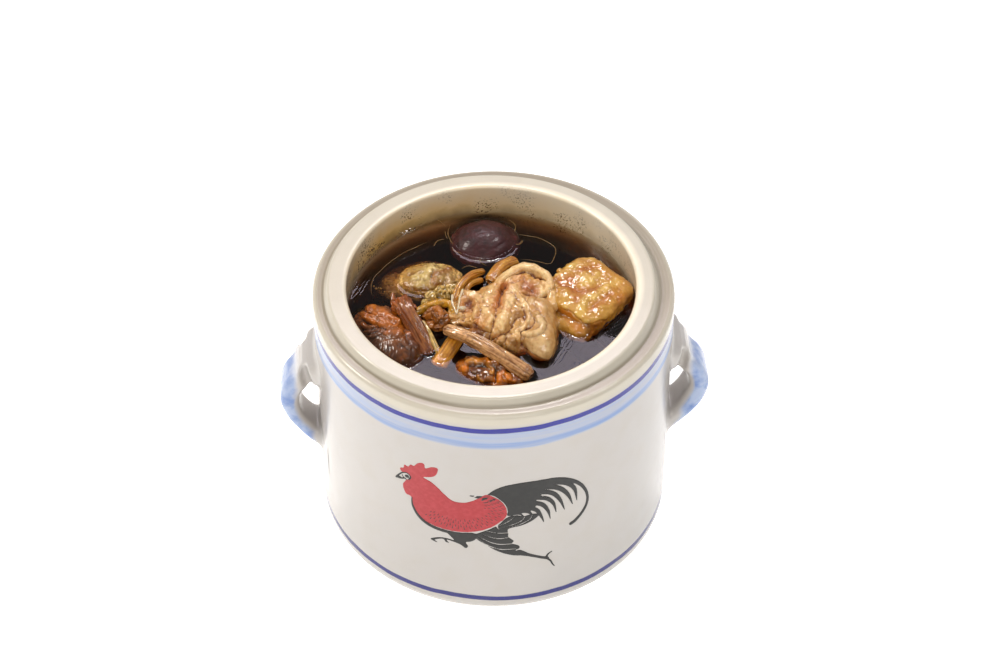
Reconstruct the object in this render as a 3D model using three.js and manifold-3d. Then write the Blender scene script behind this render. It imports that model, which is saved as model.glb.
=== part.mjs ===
// A small lidless stew pot of glazed stoneware, filled with clear brown chicken soup.
// Chicken, a red date, dried mushrooms and their stalks stand out of the soup.
//
// Millimetres, +Z up. The origin is the centre of the base, and the two ears lie along X.

import * as THREE from 'three';
import { mergeVertices } from 'three/addons/utils/BufferGeometryUtils.js';
import Module from 'manifold-3d';

const wasm = await Module();
wasm.setup();

// ---------------------------------------------------------------- driving dimensions

const ROUND_SEGMENTS = 40;

// The pot's outside.
const BODY_RADIUS = 61.7;
const BODY_TAPER = 0.2;
const FOOT_RADIUS = 52;
const FOOT_RECESS = 1.2;
const BASE_ROUND = 6;
const LEDGE_HEIGHT = 98;
const LEDGE_ROUND = 1.6;

// The raised rim, which sits a little off the body's centre, as it came off the wheel.
const RIM_HEIGHT = 101;
const RIM_OUTER_RADIUS = 56;
const RIM_FOOT_RADIUS = 57.2;
const RIM_ROUND = 1.1;
const RIM_OFFSET_X = -0.8;
const RIM_OFFSET_Y = -0.35;
const RIM_OFFSET_REACH = 58.5;

// The pot's inside.
const MOUTH_RADIUS = 49.2;
const NECK_DEPTH = 18;
const BELLY_RADIUS = 54.4;
const FLOOR_HEIGHT = 7.5;
const FLOOR_ROUND = 14;

// The ears: flat straps bent into loops on both sides, wider and thicker at their roots.
const EAR_WIDTH = 14.6;
const EAR_THICKNESS = 6.4;
const EAR_TOP_FLARE = 0.42;
const EAR_BOTTOM_FLARE = 0.24;
const EAR_TOP_HEIGHT = 66;
const EAR_BOTTOM_HEIGHT = 38.4;
const EAR_REACH = 75.5;

// The soup, and the room that every piece keeps from its neighbours.
const SOUP_LEVEL = 88.5;
const CLEARANCE = 0.35;

// ---------------------------------------------------------------- solids and geometries

/** Turns a closed three.js geometry into a solid. */
function toSolid(geometry) {
  const bare = geometry.clone();
  for (const name of Object.keys(bare.attributes)) {
    if (name !== 'position') bare.deleteAttribute(name);
  }
  const merged = mergeVertices(bare, 1e-4);
  const mesh = new wasm.Mesh({
    numProp: 3,
    vertProperties: new Float32Array(merged.attributes.position.array),
    triVerts: new Uint32Array(merged.index.array),
  });
  return new wasm.Manifold(mesh);
}

/** Turns a solid back into a three.js geometry. */
function toGeometry(solid) {
  const mesh = solid.getMesh();
  const geometry = new THREE.BufferGeometry();
  geometry.setAttribute('position', new THREE.BufferAttribute(mesh.vertProperties, mesh.numProp));
  geometry.setIndex(new THREE.BufferAttribute(mesh.triVerts, 1));
  geometry.computeVertexNormals();
  return geometry;
}

/** Fuses several solids into one. */
function fuse(solids) {
  return solids.reduce((whole, solid) => whole.add(solid));
}

/** Keeps the largest body of a solid, so that no scrap is left after a cut. */
function largestBody(solid) {
  const bodies = solid.decompose();
  return bodies.reduce((best, body) => (body.volume() > best.volume() ? body : best));
}

/** Moves every vertex of a geometry by a function of its own position. */
function reshape(geometry, move) {
  const positions = geometry.attributes.position;
  const point = new THREE.Vector3();
  for (let i = 0; i < positions.count; i += 1) {
    move(point.fromBufferAttribute(positions, i));
    positions.setXYZ(i, point.x, point.y, point.z);
  }
  return geometry;
}

/** A turned solid from an outline of [radius, height] pairs; the lathe's axis is stood up along Z. */
function turned(outline) {
  const points = outline.map(([radius, height]) => new THREE.Vector2(radius, height));
  return new THREE.LatheGeometry(points, ROUND_SEGMENTS).rotateX(Math.PI / 2);
}

/** Points along a quarter-like arc, from one angle to another, both in degrees. */
function arc(centreRadius, centreHeight, radius, fromDegrees, toDegrees, steps) {
  const points = [];
  for (let i = 0; i <= steps; i += 1) {
    const angle = THREE.MathUtils.degToRad(fromDegrees + ((toDegrees - fromDegrees) * i) / steps);
    points.push([centreRadius + radius * Math.cos(angle), centreHeight + radius * Math.sin(angle)]);
  }
  return points;
}

/** Slides what lies inside the rim sideways, which sets the rim and the hollow off centre. */
function offCentre(geometry) {
  return reshape(geometry, (point) => {
    if (Math.hypot(point.x, point.y) < RIM_OFFSET_REACH && point.z > FLOOR_HEIGHT - 1) {
      point.x += RIM_OFFSET_X;
      point.y += RIM_OFFSET_Y;
    }
  });
}

/**
 * A closed uneven lump of food: a ball stretched to three radii, squared off where asked,
 * with a relief that is given as a share of the radius in each direction.
 */
function lump({ at, radii, turn = [0, 0, 0], square = 2, detail = 4, relief = () => 0 }, spare) {
  const ball = new THREE.IcosahedronGeometry(1, detail);
  const angles = turn.map(THREE.MathUtils.degToRad);
  const stretch = new THREE.Vector3(...radii.map((radius) => radius + spare));
  const heading = new THREE.Euler(...angles);
  const place = new THREE.Vector3(...at);
  reshape(ball, (point) => {
    const length = Math.abs(point.x) ** square + Math.abs(point.y) ** square + Math.abs(point.z) ** square;
    const swell = (1 + relief(point.clone())) * length ** (-1 / square);
    point.multiplyScalar(swell).multiply(stretch).applyEuler(heading).add(place);
  });
  return toSolid(ball);
}

/** A stalk or a rolled edge: a rod bent along a smooth route, with its radius given along it. */
function bentRod({ route, radius, flat = 1, sides = 8, steps = 10, relief = () => 0 }, spare) {
  const curve = new THREE.CatmullRomCurve3(route.map((point) => new THREE.Vector3(...point)));
  const frames = curve.computeFrenetFrames(steps);
  const rod = new THREE.CylinderGeometry(1, 1, 1, sides, steps);
  reshape(rod, (point) => {
    const along = point.y + 0.5;
    const step = Math.round(along * steps);
    const turn = Math.atan2(point.z, point.x);
    const size = (radius(along) * (1 + relief(along, turn)) + spare) * Math.hypot(point.x, point.z);
    const out = size * Math.cos(turn);
    const side = -size * flat * Math.sin(turn);
    curve.getPointAt(along, point);
    point.addScaledVector(frames.normals[step], out);
    point.addScaledVector(frames.binormals[step], side);
    if (step === 0) point.addScaledVector(frames.tangents[step], -spare);
    if (step === steps) point.addScaledVector(frames.tangents[step], spare);
  });
  return toSolid(rod);
}

/** A radius that runs evenly from one value to another, with rounded ends where asked. */
function tapered(start, end, roundEnds = 0.12) {
  return (along) => {
    const edge = Math.min(along, 1 - along);
    const shrink = edge < roundEnds ? 0.62 + (0.38 * edge) / roundEnds : 1;
    return THREE.MathUtils.lerp(start, end, along) * shrink;
  };
}

/** A soft swelling on a lump, round one direction. */
function swelling(point, direction, width, height) {
  const angle = point.angleTo(new THREE.Vector3(...direction));
  return height * Math.exp(-((angle / width) ** 2));
}

/** Broad unevenness that repeats nowhere on one lump. */
function unevenness(point, pitch, phase, height) {
  const { x, y, z } = point;
  const first = Math.sin(pitch * x + phase) * Math.sin(pitch * 0.8 * y + 2 * phase);
  const second = Math.sin(pitch * 1.3 * z + 3 * phase + 1.7 * x);
  return height * (first + 0.6 * second);
}

// ---------------------------------------------------------------- the pot

/** The pot's body in one closed outline: foot, wall, ledge, raised rim, hollow and floor. */
function potBody() {
  const baseCentre = BODY_RADIUS - BODY_TAPER - BASE_ROUND;
  const outline = [
    [0, FOOT_RECESS],
    [FOOT_RADIUS - 1.5, FOOT_RECESS],
    [FOOT_RADIUS, 0],
    ...arc(baseCentre, BASE_ROUND, BASE_ROUND, -90, 0, 3),
    ...arc(BODY_RADIUS - LEDGE_ROUND, LEDGE_HEIGHT - LEDGE_ROUND, LEDGE_ROUND, 0, 90, 2),
    [RIM_FOOT_RADIUS, LEDGE_HEIGHT],
    ...arc(RIM_OUTER_RADIUS - RIM_ROUND, RIM_HEIGHT - RIM_ROUND, RIM_ROUND, 20, 90, 2),
    ...arc(MOUTH_RADIUS + RIM_ROUND, RIM_HEIGHT - RIM_ROUND, RIM_ROUND, 90, 180, 2),
    ...hollowOutline(0),
    [0, FLOOR_HEIGHT],
  ];
  return toSolid(offCentre(turned(outline)));
}

/** The hollow's outline from the neck down to the floor, drawn in from the wall by a gap. */
function hollowOutline(gap) {
  const neckHeight = RIM_HEIGHT - NECK_DEPTH;
  const floor = FLOOR_HEIGHT + gap;
  return [
    [MOUTH_RADIUS + 0.4 - gap, neckHeight + 6],
    [MOUTH_RADIUS + 1.2 - gap, neckHeight],
    [BELLY_RADIUS - gap, neckHeight - 26],
    ...arc(BELLY_RADIUS - gap - FLOOR_ROUND, floor + FLOOR_ROUND, FLOOR_ROUND, 0, -90, 3),
  ];
}

/** One ear: a strap that leaves the wall high, bulges out low and comes back to the wall. */
function ear(side) {
  const crest = EAR_REACH - EAR_THICKNESS / 2;
  const fall = EAR_TOP_HEIGHT - EAR_BOTTOM_HEIGHT;
  const root = BODY_RADIUS - 4.5;
  const route = [
    [root, 0, EAR_TOP_HEIGHT + 1],
    [BODY_RADIUS + 1.6, 0, EAR_TOP_HEIGHT],
    [BODY_RADIUS + 5, 0, EAR_TOP_HEIGHT - 0.18 * fall],
    [crest - 1.8, 0, EAR_TOP_HEIGHT - 0.36 * fall],
    [crest, 0, EAR_TOP_HEIGHT - 0.55 * fall],
    [crest - 2.4, 0, EAR_TOP_HEIGHT - 0.76 * fall],
    [BODY_RADIUS + 4.2, 0, EAR_BOTTOM_HEIGHT + 2.4],
    [BODY_RADIUS + 0.6, 0, EAR_BOTTOM_HEIGHT],
    [root, 0, EAR_BOTTOM_HEIGHT - 0.6],
  ];
  const strap = {
    route: route.map(([x, y, z]) => [side * x, y, z]),
    radius: (along) => {
      const top = EAR_TOP_FLARE * Math.exp(-((along / 0.24) ** 2));
      const bottom = EAR_BOTTOM_FLARE * Math.exp(-(((1 - along) / 0.2) ** 2));
      return (EAR_WIDTH / 2) * (1 + top + bottom);
    },
    flat: EAR_THICKNESS / EAR_WIDTH,
    sides: 10,
    steps: 14,
  };
  return bentRod(strap, 0);
}

/** The whole pot: the body with both ears fused on, and the hollow kept clear of their roots. */
function pot() {
  return fuse([potBody(), ear(1), ear(-1)]);
}

/** The soup as one body up to its level, before the food is cut out of it. */
function soupFill() {
  const neckHeight = RIM_HEIGHT - NECK_DEPTH;
  const outline = [
    [0, FLOOR_HEIGHT + CLEARANCE],
    ...hollowOutline(CLEARANCE).reverse(),
    [MOUTH_RADIUS + 0.4 - CLEARANCE, SOUP_LEVEL],
    [0, SOUP_LEVEL],
  ].filter(([radius, height]) => radius === 0 || height <= Math.max(neckHeight, SOUP_LEVEL));
  return toSolid(offCentre(turned(outline)));
}

// ---------------------------------------------------------------- the food

/** Pulled meat with a rolled rim of skin behind it and loose folds of skin down its right side. */
function chickenCentre(spare) {
  return fuse([
    lump({
      at: [4, -9.5, 88],
      radii: [15, 13, 11],
      turn: [0, 4, -24],
      detail: 4,
      relief: (p) => unevenness(p, 7, 0.4, 0.05) + swelling(p, [0.2, 0.2, 1], 0.5, 0.1),
    }, spare),
    lump({
      at: [9.8, -1, 90.6],
      radii: [9.8, 7.6, 8],
      turn: [-14, 0, -10],
      detail: 3,
      relief: (p) => unevenness(p, 5, 2.2, 0.05),
    }, spare),
    lump({
      at: [-9.4, -10.4, 88.6],
      radii: [9.6, 6.6, 5],
      turn: [0, -8, 20],
      detail: 3,
      relief: (p) => unevenness(p, 6, 1.3, 0.07),
    }, spare),
    lump({
      at: [15.4, -13.6, 88.4],
      radii: [6.4, 15.6, 9],
      turn: [0, 10, 6],
      detail: 4,
      relief: (p) => 0.07 * Math.sin(10 * p.y + 4 * p.z) * Math.max(0, p.z + 0.4),
    }, spare),
    bentRod({
      route: [[-0.6, 0, 93], [3.8, 5.6, 95.4], [10, 7.8, 96.6], [16.2, 5.6, 96.6], [19.8, 0, 95], [20.2, -6, 92.6]],
      radius: tapered(1.7, 2),
    }, spare),
  ]);
}

/** A slab of meat under golden skin, with a second layer of meat below its left side. */
function chickenRight(spare) {
  return fuse([
    lump({
      at: [32.4, 1.8, 91.6],
      radii: [12.6, 13.6, 4.2],
      turn: [5, 7, -42],
      square: 3.8,
      detail: 4,
      relief: (p) => unevenness(p, 5, 2.1, 0.035),
    }, spare),
    lump({
      at: [29.4, -2, 86.8],
      radii: [10.4, 12, 5],
      turn: [0, 0, -42],
      square: 3,
      detail: 2,
      relief: (p) => unevenness(p, 4, 0.9, 0.04),
    }, spare),
  ]);
}

/** A pale piece that only just breaks the surface. */
function chickenLeft(spare) {
  return lump({
    at: [-22.5, 18.5, 84.2],
    radii: [14, 10.6, 7.4],
    turn: [0, 4, -6],
    square: 2.3,
    detail: 4,
    relief: (p) => unevenness(p, 5, 3.4, 0.05),
  }, spare);
}

/** A plump dried date, soaked until it is nearly smooth. */
function redDate(spare) {
  return lump({
    at: [-1, 34.6, 84.4],
    radii: [12.4, 11.4, 8.6],
    detail: 3,
    relief: (p) => unevenness(p, 4, 5.1, 0.012),
  }, spare);
}

/** A folded cap whose creases fan out from its stalk end. */
function mushroomLeft(spare) {
  return lump({
    at: [-36.8, -12.6, 87],
    radii: [16.6, 9.2, 6.6],
    turn: [6, -4, -57],
    detail: 5,
    relief: (p) => {
      const creases = Math.sin(16 * Math.atan2(p.y, p.x + 1.6)) * Math.max(0, p.z);
      return 0.1 * creases + unevenness(p, 4, 1.1, 0.04);
    },
  }, spare);
}

/** A small tight cap with deep wrinkles. */
function wrinkledCap(spare) {
  return lump({
    at: [-19.6, -6.4, 90],
    radii: [4.6, 4.3, 3.6],
    detail: 3,
    relief: (p) => 0.1 * Math.sin(6 * Math.atan2(p.y, p.x)) * (1 - p.z * p.z),
  }, spare);
}

/** A frilled scrap of cap at the edge of the meat. */
function oliveFrill(spare) {
  return lump({
    at: [-17.6, 6.8, 89],
    radii: [7, 3.2, 2.6],
    turn: [0, -6, 24],
    detail: 3,
    relief: (p) => 0.14 * Math.sin(9 * p.x + 2 * p.y),
  }, spare);
}

/** A soft clump of cap in front of the meat. */
function amberMushroom(spare) {
  return lump({
    at: [-3, -31, 87],
    radii: [12.4, 5.8, 4.4],
    turn: [0, 0, -24],
    detail: 3,
    relief: (p) => 0.1 * Math.sin(7 * p.x + 1) * Math.max(0, p.z + 0.3) + unevenness(p, 6, 2.7, 0.04),
  }, spare);
}

/** Stalks, each a bent rod: route, radius along it, and how much wider it is than thick. */
const STALKS = {
  stalk_upright: {
    route: [[-31.8, -2.4, 95], [-28.2, -10, 93.2], [-22.6, -20.4, 87.2]],
    radius: tapered(3.5, 2.5, 0.06),
    relief: (along, turn) => 0.12 * Math.sin(4 * turn + 3 * along),
    sides: 10,
  },
  stalk_thin: {
    route: [[-25.2, -8.2, 91.2], [-22.6, -14, 90.4], [-19.6, -20.6, 87.2]],
    radius: tapered(1.2, 1.3),
    sides: 6,
    steps: 6,
  },
  curved_stem_long: {
    route: [[-13.6, 0.6, 90.6], [-11.6, 6.4, 92.4], [-7.4, 12.2, 92.4], [-2.4, 16.8, 90]],
    radius: tapered(1.4, 1.5),
  },
  curved_stem_short: {
    route: [[-10.6, 3.4, 90.2], [-7.6, 9, 91.2], [-3, 13, 89.6]],
    radius: tapered(1.1, 1.2),
    sides: 6,
    steps: 8,
  },
  ribbed_stalk: {
    route: [[-0.8, 9.6, 91.4], [3.6, 15.6, 92.2], [8.8, 20, 90.6]],
    radius: tapered(2.5, 2.9, 0.2),
    relief: (along) => 0.07 * Math.sin(40 * along),
    steps: 16,
  },
  front_stem: {
    route: [[-17.4, -14.4, 93.2], [-9.4, -20.6, 94.4], [-0.6, -27.2, 93.4], [10.4, -35.6, 90]],
    radius: tapered(2.1, 2.9, 0.08),
    relief: (along, turn) => 0.1 * Math.sin(3 * turn + 5 * along),
    steps: 14,
  },
  short_stalk: {
    route: [[-13, -15.4, 90], [-16.4, -20, 88.6], [-20.4, -25.4, 85.4]],
    radius: tapered(2.2, 2.6, 0.05),
    flat: 1.3,
  },
};

// ---------------------------------------------------------------- the assembly

/** Every piece of food as [name, shape, colour, roughness], the ones that others give way to first. */
const FOOD = [
  ['chicken_centre', chickenCentre, '#c99f6e', 0.45],
  ['chicken_right', chickenRight, '#cf9a4c', 0.4],
  ['front_stem', (spare) => bentRod(STALKS.front_stem, spare), '#7a4f2b', 0.45],
  ['red_date', redDate, '#2c1519', 0.2],
  ['chicken_left', chickenLeft, '#a58a4e', 0.3],
  ['stalk_upright', (spare) => bentRod(STALKS.stalk_upright, spare), '#7a4a26', 0.45],
  ['mushroom_left', mushroomLeft, '#5a2f18', 0.25],
  ['wrinkled_cap', wrinkledCap, '#4a2c1b', 0.3],
  ['stalk_thin', (spare) => bentRod(STALKS.stalk_thin, spare), '#6b5a2a', 0.4],
  ['short_stalk', (spare) => bentRod(STALKS.short_stalk, spare), '#a8702f', 0.4],
  ['curved_stem_long', (spare) => bentRod(STALKS.curved_stem_long, spare), '#a97c48', 0.35],
  ['curved_stem_short', (spare) => bentRod(STALKS.curved_stem_short, spare), '#8e6236', 0.35],
  ['ribbed_stalk', (spare) => bentRod(STALKS.ribbed_stalk, spare), '#a3682c', 0.35],
  ['olive_frill', oliveFrill, '#7b6a35', 0.35],
  ['amber_mushroom', amberMushroom, '#6f4318', 0.25],
];

/** Wraps a solid as a named mesh with its own material. */
function meshOf(name, solid, colour, roughness, more = {}) {
  const material = new THREE.MeshStandardMaterial({ color: colour, roughness, metalness: 0, ...more });
  const mesh = new THREE.Mesh(toGeometry(solid), material);
  mesh.name = name;
  return mesh;
}

/** Builds the pot, the food from first to last, and then the soup round all of it. */
function potOfSoup() {
  const group = new THREE.Group();
  group.name = 'pot_of_mushroom_chicken_soup';
  group.add(meshOf('pot', pot(), '#e9e4da', 0.3));
  let taken = null;
  for (const [name, shape, colour, roughness] of FOOD) {
    const solid = taken ? largestBody(shape(0).subtract(taken)) : shape(0);
    group.add(meshOf(name, solid, colour, roughness));
    taken = taken ? taken.add(shape(CLEARANCE)) : shape(CLEARANCE);
  }
  const soup = largestBody(soupFill().subtract(taken));
  group.add(meshOf('soup', soup, '#3b2413', 0.08));
  return group;
}

export default potOfSoup();
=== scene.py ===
"""Looks of a small stoneware stew pot filled with clear brown mushroom and chicken soup.

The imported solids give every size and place. This script dresses them: a turned and glazed pot with
pulled ears and brushed blue lines, a painted rooster, a liquid that light passes into, and food whose
folds, fibres and creases are real relief. Sizes are in millimetres until a mesh is made.
"""

import itertools
import logging
import math
from collections.abc import Callable, Sequence
from dataclasses import dataclass, field
from enum import Enum
from functools import partial, reduce

import bpy
import numpy as np
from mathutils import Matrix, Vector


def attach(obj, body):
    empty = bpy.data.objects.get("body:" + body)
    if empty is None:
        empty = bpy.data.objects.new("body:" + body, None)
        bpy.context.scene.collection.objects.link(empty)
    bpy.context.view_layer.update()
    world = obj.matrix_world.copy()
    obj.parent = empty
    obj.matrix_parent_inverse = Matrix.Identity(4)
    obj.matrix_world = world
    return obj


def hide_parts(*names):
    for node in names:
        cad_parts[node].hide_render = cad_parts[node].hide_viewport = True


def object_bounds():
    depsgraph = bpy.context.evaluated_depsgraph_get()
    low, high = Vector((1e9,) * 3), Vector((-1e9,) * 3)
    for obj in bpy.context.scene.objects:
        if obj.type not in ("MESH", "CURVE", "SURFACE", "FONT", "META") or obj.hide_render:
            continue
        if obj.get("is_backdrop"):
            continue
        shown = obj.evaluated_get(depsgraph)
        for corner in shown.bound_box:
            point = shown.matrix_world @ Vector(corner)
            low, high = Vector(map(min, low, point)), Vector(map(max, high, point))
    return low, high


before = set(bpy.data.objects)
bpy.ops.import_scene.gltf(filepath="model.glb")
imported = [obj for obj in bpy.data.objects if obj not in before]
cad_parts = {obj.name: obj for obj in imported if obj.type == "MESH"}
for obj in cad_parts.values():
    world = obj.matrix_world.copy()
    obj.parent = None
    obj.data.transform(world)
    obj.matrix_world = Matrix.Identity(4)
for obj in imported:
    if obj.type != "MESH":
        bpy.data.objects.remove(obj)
cad_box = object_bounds()

MM = 0.001
BODY = "root"

Points = np.ndarray
Field = Callable[[np.ndarray], np.ndarray]
Triple = tuple[float, float, float]
Put = Callable[..., bpy.types.NodeSocket]

log = logging.getLogger("pot")


# ---------------------------------------------------------------- shared sizes

SOUP_LEVEL = 88.5
BODY_RADIUS = 61.7
RIM_HEIGHT = 101.0
LEDGE_HEIGHT = 98.0
MOUTH_RADIUS = 49.2
BELLY_RADIUS = 54.4
NECK_HEIGHT = 83.0
FLOOR_HEIGHT = 7.5
FLOOR_ROUND = 14.0
RIM_OFFSET = (-0.8, -0.35)
COARSE = 4
RGBA = {"out": "Result", "data_type": "RGBA"}
SMOOTH = {"interpolation_type": "SMOOTHSTEP"}


# ---------------------------------------------------------------- small helpers

def linear(hex_colour: str) -> tuple[float, float, float, float]:
    """Turns an sRGB hex colour into linear red, green, blue and alpha.

    Args:
        hex_colour: six hex digits, with or without a leading #.

    Returns:
        The linear colour with an alpha of 1.
    """
    digits = hex_colour.lstrip("#")
    parts = [int(digits[i:i + 2], 16) / 255 for i in (0, 2, 4)]
    made = [c / 12.92 if c <= 0.04045 else ((c + 0.055) / 1.055) ** 2.4 for c in parts]
    return (made[0], made[1], made[2], 1.0)


def add_node(
    tree: bpy.types.NodeTree, kind: str, inputs: dict | None = None, out: int | str = 0, **settings: object
) -> bpy.types.NodeSocket:
    """Adds one node with its settings and links.

    Args:
        tree: the node tree that gets the node.
        kind: the node's type name, without ShaderNode before it.
        inputs: socket name or index to a value, or to the output socket that feeds it.
        out: the name or index of the output that is wanted.
        settings: properties of the node itself.

    Returns:
        The wanted output socket.
    """
    node = tree.nodes.new("ShaderNode" + kind)
    for name, value in settings.items():
        setattr(node, name, value)
    for socket, value in (inputs or {}).items():
        if isinstance(value, bpy.types.NodeSocket):
            tree.links.new(value, node.inputs[socket])
        else:
            node.inputs[socket].default_value = value
    return node.outputs[out] if node.outputs else None


def new_material(name: str) -> tuple[bpy.types.Material, Put]:
    """An empty material, and the function that adds a node to it."""
    made = bpy.data.materials.new(name)
    made.use_nodes = True
    made.node_tree.nodes.clear()
    return made, partial(add_node, made.node_tree)


def ease(low: float, high: float, value: np.ndarray) -> np.ndarray:
    """Goes smoothly from 0 at low to 1 at high."""
    share = np.clip((value - low) / (high - low), 0, 1)
    return share * share * (3 - 2 * share)


def turning(degrees: Triple) -> np.ndarray:
    """The matrix that turns about X, then Y, then Z of the turned piece, from three angles."""
    made = np.eye(3)
    for axis, angle in enumerate(np.radians(degrees)):
        a, b = (axis + 1) % 3, (axis + 2) % 3
        one = np.eye(3)
        one[a, a] = one[b, b] = math.cos(angle)
        one[a, b] = -math.sin(angle)
        one[b, a] = math.sin(angle)
        made = made @ one
    return made


def smooth_route(corners: Sequence[Sequence[float]], steps: int) -> np.ndarray:
    """Points along one smooth curve through all the corners.

    Args:
        corners: the points that the curve passes.
        steps: how many stretches the curve is cut into.

    Returns:
        steps + 1 points, evenly spread along the curve.
    """
    known = np.asarray(corners, float)
    ends = np.vstack([2 * known[0] - known[1], known, 2 * known[-1] - known[-2]])
    fine = []
    for i in range(len(known) - 1):
        a, b, c, d = ends[i:i + 4]
        t = np.linspace(0, 1, 24, endpoint=False)[:, None]
        fine.append(0.5 * (2 * b + (c - a) * t + (2 * a - 5 * b + 4 * c - d) * t**2
                           + (3 * b - a - 3 * c + d) * t**3))
    line = np.vstack(fine + [known[-1:]])
    run = np.concatenate([[0], np.cumsum(np.linalg.norm(np.diff(line, axis=0), axis=1))])
    spots = np.linspace(0, run[-1], steps + 1)
    return np.stack([np.interp(spots, run, line[:, k]) for k in range(line.shape[1])], 1)


@dataclass(frozen=True)
class View:
    """The photograph's view: where the camera stands and what it looks at."""

    azimuth: float = -3.5
    elevation: float = 44.0
    distance: float = 940.0
    aim: tuple[float, float] = (2.2, 76.4)
    lens: float = 97.92

    def axes(self) -> tuple[np.ndarray, np.ndarray, np.ndarray]:
        """Unit vectors to the view's right, upwards in it, and back to the camera."""
        turn, tilt = math.radians(self.azimuth), math.radians(self.elevation)
        right = np.array([math.cos(turn), math.sin(turn), 0])
        back = np.array([math.cos(tilt) * math.sin(turn), -math.cos(tilt) * math.cos(turn), math.sin(tilt)])
        return right, np.cross(back, right), back

    def target(self) -> np.ndarray:
        """The point that the camera looks at."""
        return self.axes()[0] * self.aim[0] + (0, 0, self.aim[1])

    def camera(self) -> np.ndarray:
        """Where the camera stands."""
        return self.target() + self.axes()[2] * self.distance

    def flat(self, points: Points) -> np.ndarray:
        """Where points are seen: millimetres right of and above the middle, at the target's distance."""
        right, up, back = self.axes()
        own = points - self.target()
        scale = self.distance / (self.distance - own @ back)
        return np.stack([own @ right, own @ up], 1) * scale[:, None]

    def on_level(self, flat: Sequence[Sequence[float]], height: float) -> np.ndarray:
        """The points of a level plane that are seen at these places."""
        right, up, _ = self.axes()
        places = np.asarray(flat, float)
        way = self.target() + places[:, :1] * right + places[:, 1:] * up - self.camera()
        return self.camera() + way * ((height - self.camera()[2]) / way[:, 2])[:, None]


VIEW = View()


# ---------------------------------------------------------------- noise and fields

@dataclass(frozen=True)
class Noise:
    """Smooth seeded noise in space, for relief that repeats nowhere."""

    seed: int

    def at(self, points: Points, pitch: float) -> np.ndarray:
        """One layer of noise.

        Args:
            points: rows of three coordinates.
            pitch: the size of its bumps, in the same unit.

        Returns:
            A value for each point, mostly from -1 to 1.
        """
        rng = np.random.default_rng(self.seed)
        table = rng.permutation(256)
        slopes = rng.normal(size=(256, 3))
        slopes /= np.linalg.norm(slopes, axis=1)[:, None]
        place = points / pitch
        cell = np.floor(place).astype(int)
        part = place - cell
        fade = part**3 * (part * (part * 6 - 15) + 10)
        total = np.zeros(len(points))
        for corner in itertools.product((0, 1), repeat=3):
            k = (cell + corner) & 255
            pick = table[(table[(table[k[:, 0]] + k[:, 1]) & 255] + k[:, 2]) & 255]
            weight = np.prod(np.where(corner, fade, 1 - fade), axis=1)
            total += weight * np.einsum("ij,ij->i", part - corner, slopes[pick])
        return 1.7 * total

    def layers(self, points: Points, pitch: float, count: int, gain: float = 0.5) -> np.ndarray:
        """Several layers of noise, each half as coarse as the last."""
        total = np.zeros(len(points))
        for i in range(count):
            total += gain**i * Noise(self.seed + 17 * i).at(points, pitch / 2**i)
        return total

    def ridges(self, points: Points, pitch: float) -> np.ndarray:
        """Noise with sharp crests: 1 on a crest, falling to 0 and below between."""
        return 1 - 2 * np.abs(self.at(points, pitch))


def ball(at: Triple, radii: Triple, turn: Triple = (0, 0, 0), square: float = 2.0) -> Field:
    """A ball stretched to three radii and squared off where asked, as a distance.

    Args:
        at: its centre.
        radii: half its size along its own axes.
        turn: the angles that turn it, in degrees.
        square: 2 is round, and more is boxier.

    Returns:
        The function that gives each point's distance to its surface, less than 0 inside.
    """
    centre, size, matrix = np.array(at), np.array(radii), turning(turn)

    def distance(points: Points) -> np.ndarray:
        own = (points - centre) @ matrix
        share = np.abs(own / size) + 1e-6
        level = (share**square).sum(1) ** (1 / square)
        slope = np.linalg.norm(share ** (square - 1) / size, axis=1) * level ** (1 - square)
        return (level - 1) / slope

    return distance


def rod(corners: Sequence[Triple], radius: Callable[[float], float], steps: int = 18) -> Field:
    """A round rod along a smooth route, as a distance; radius gives its size from 0 to 1 along it."""
    line = smooth_route(corners, steps)
    sizes = [radius(i / steps) for i in range(steps + 1)]

    def distance(points: Points) -> np.ndarray:
        best = np.full(len(points), 1e9)
        for a, b, ra, rb in zip(line, line[1:], sizes, sizes[1:]):
            way = b - a
            share = np.clip((points - a) @ way / (way @ way), 0, 1)
            gap = np.linalg.norm(points - a - share[:, None] * way, axis=1)
            best = np.minimum(best, gap - (ra + (rb - ra) * share))
        return best

    return distance


def fused(first: np.ndarray, second: np.ndarray, blend: float) -> np.ndarray:
    """Joins two distances, with a fillet of about the blend's size."""
    share = np.clip(0.5 + 0.5 * (second - first) / blend, 0, 1)
    return second + (first - second) * share - blend * share * (1 - share)


def carved(first: np.ndarray, second: np.ndarray, blend: float) -> np.ndarray:
    """Takes the second shape out of the first, with softened edges."""
    return -fused(-first, second, blend)


# ---------------------------------------------------------------- surfaces

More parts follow.
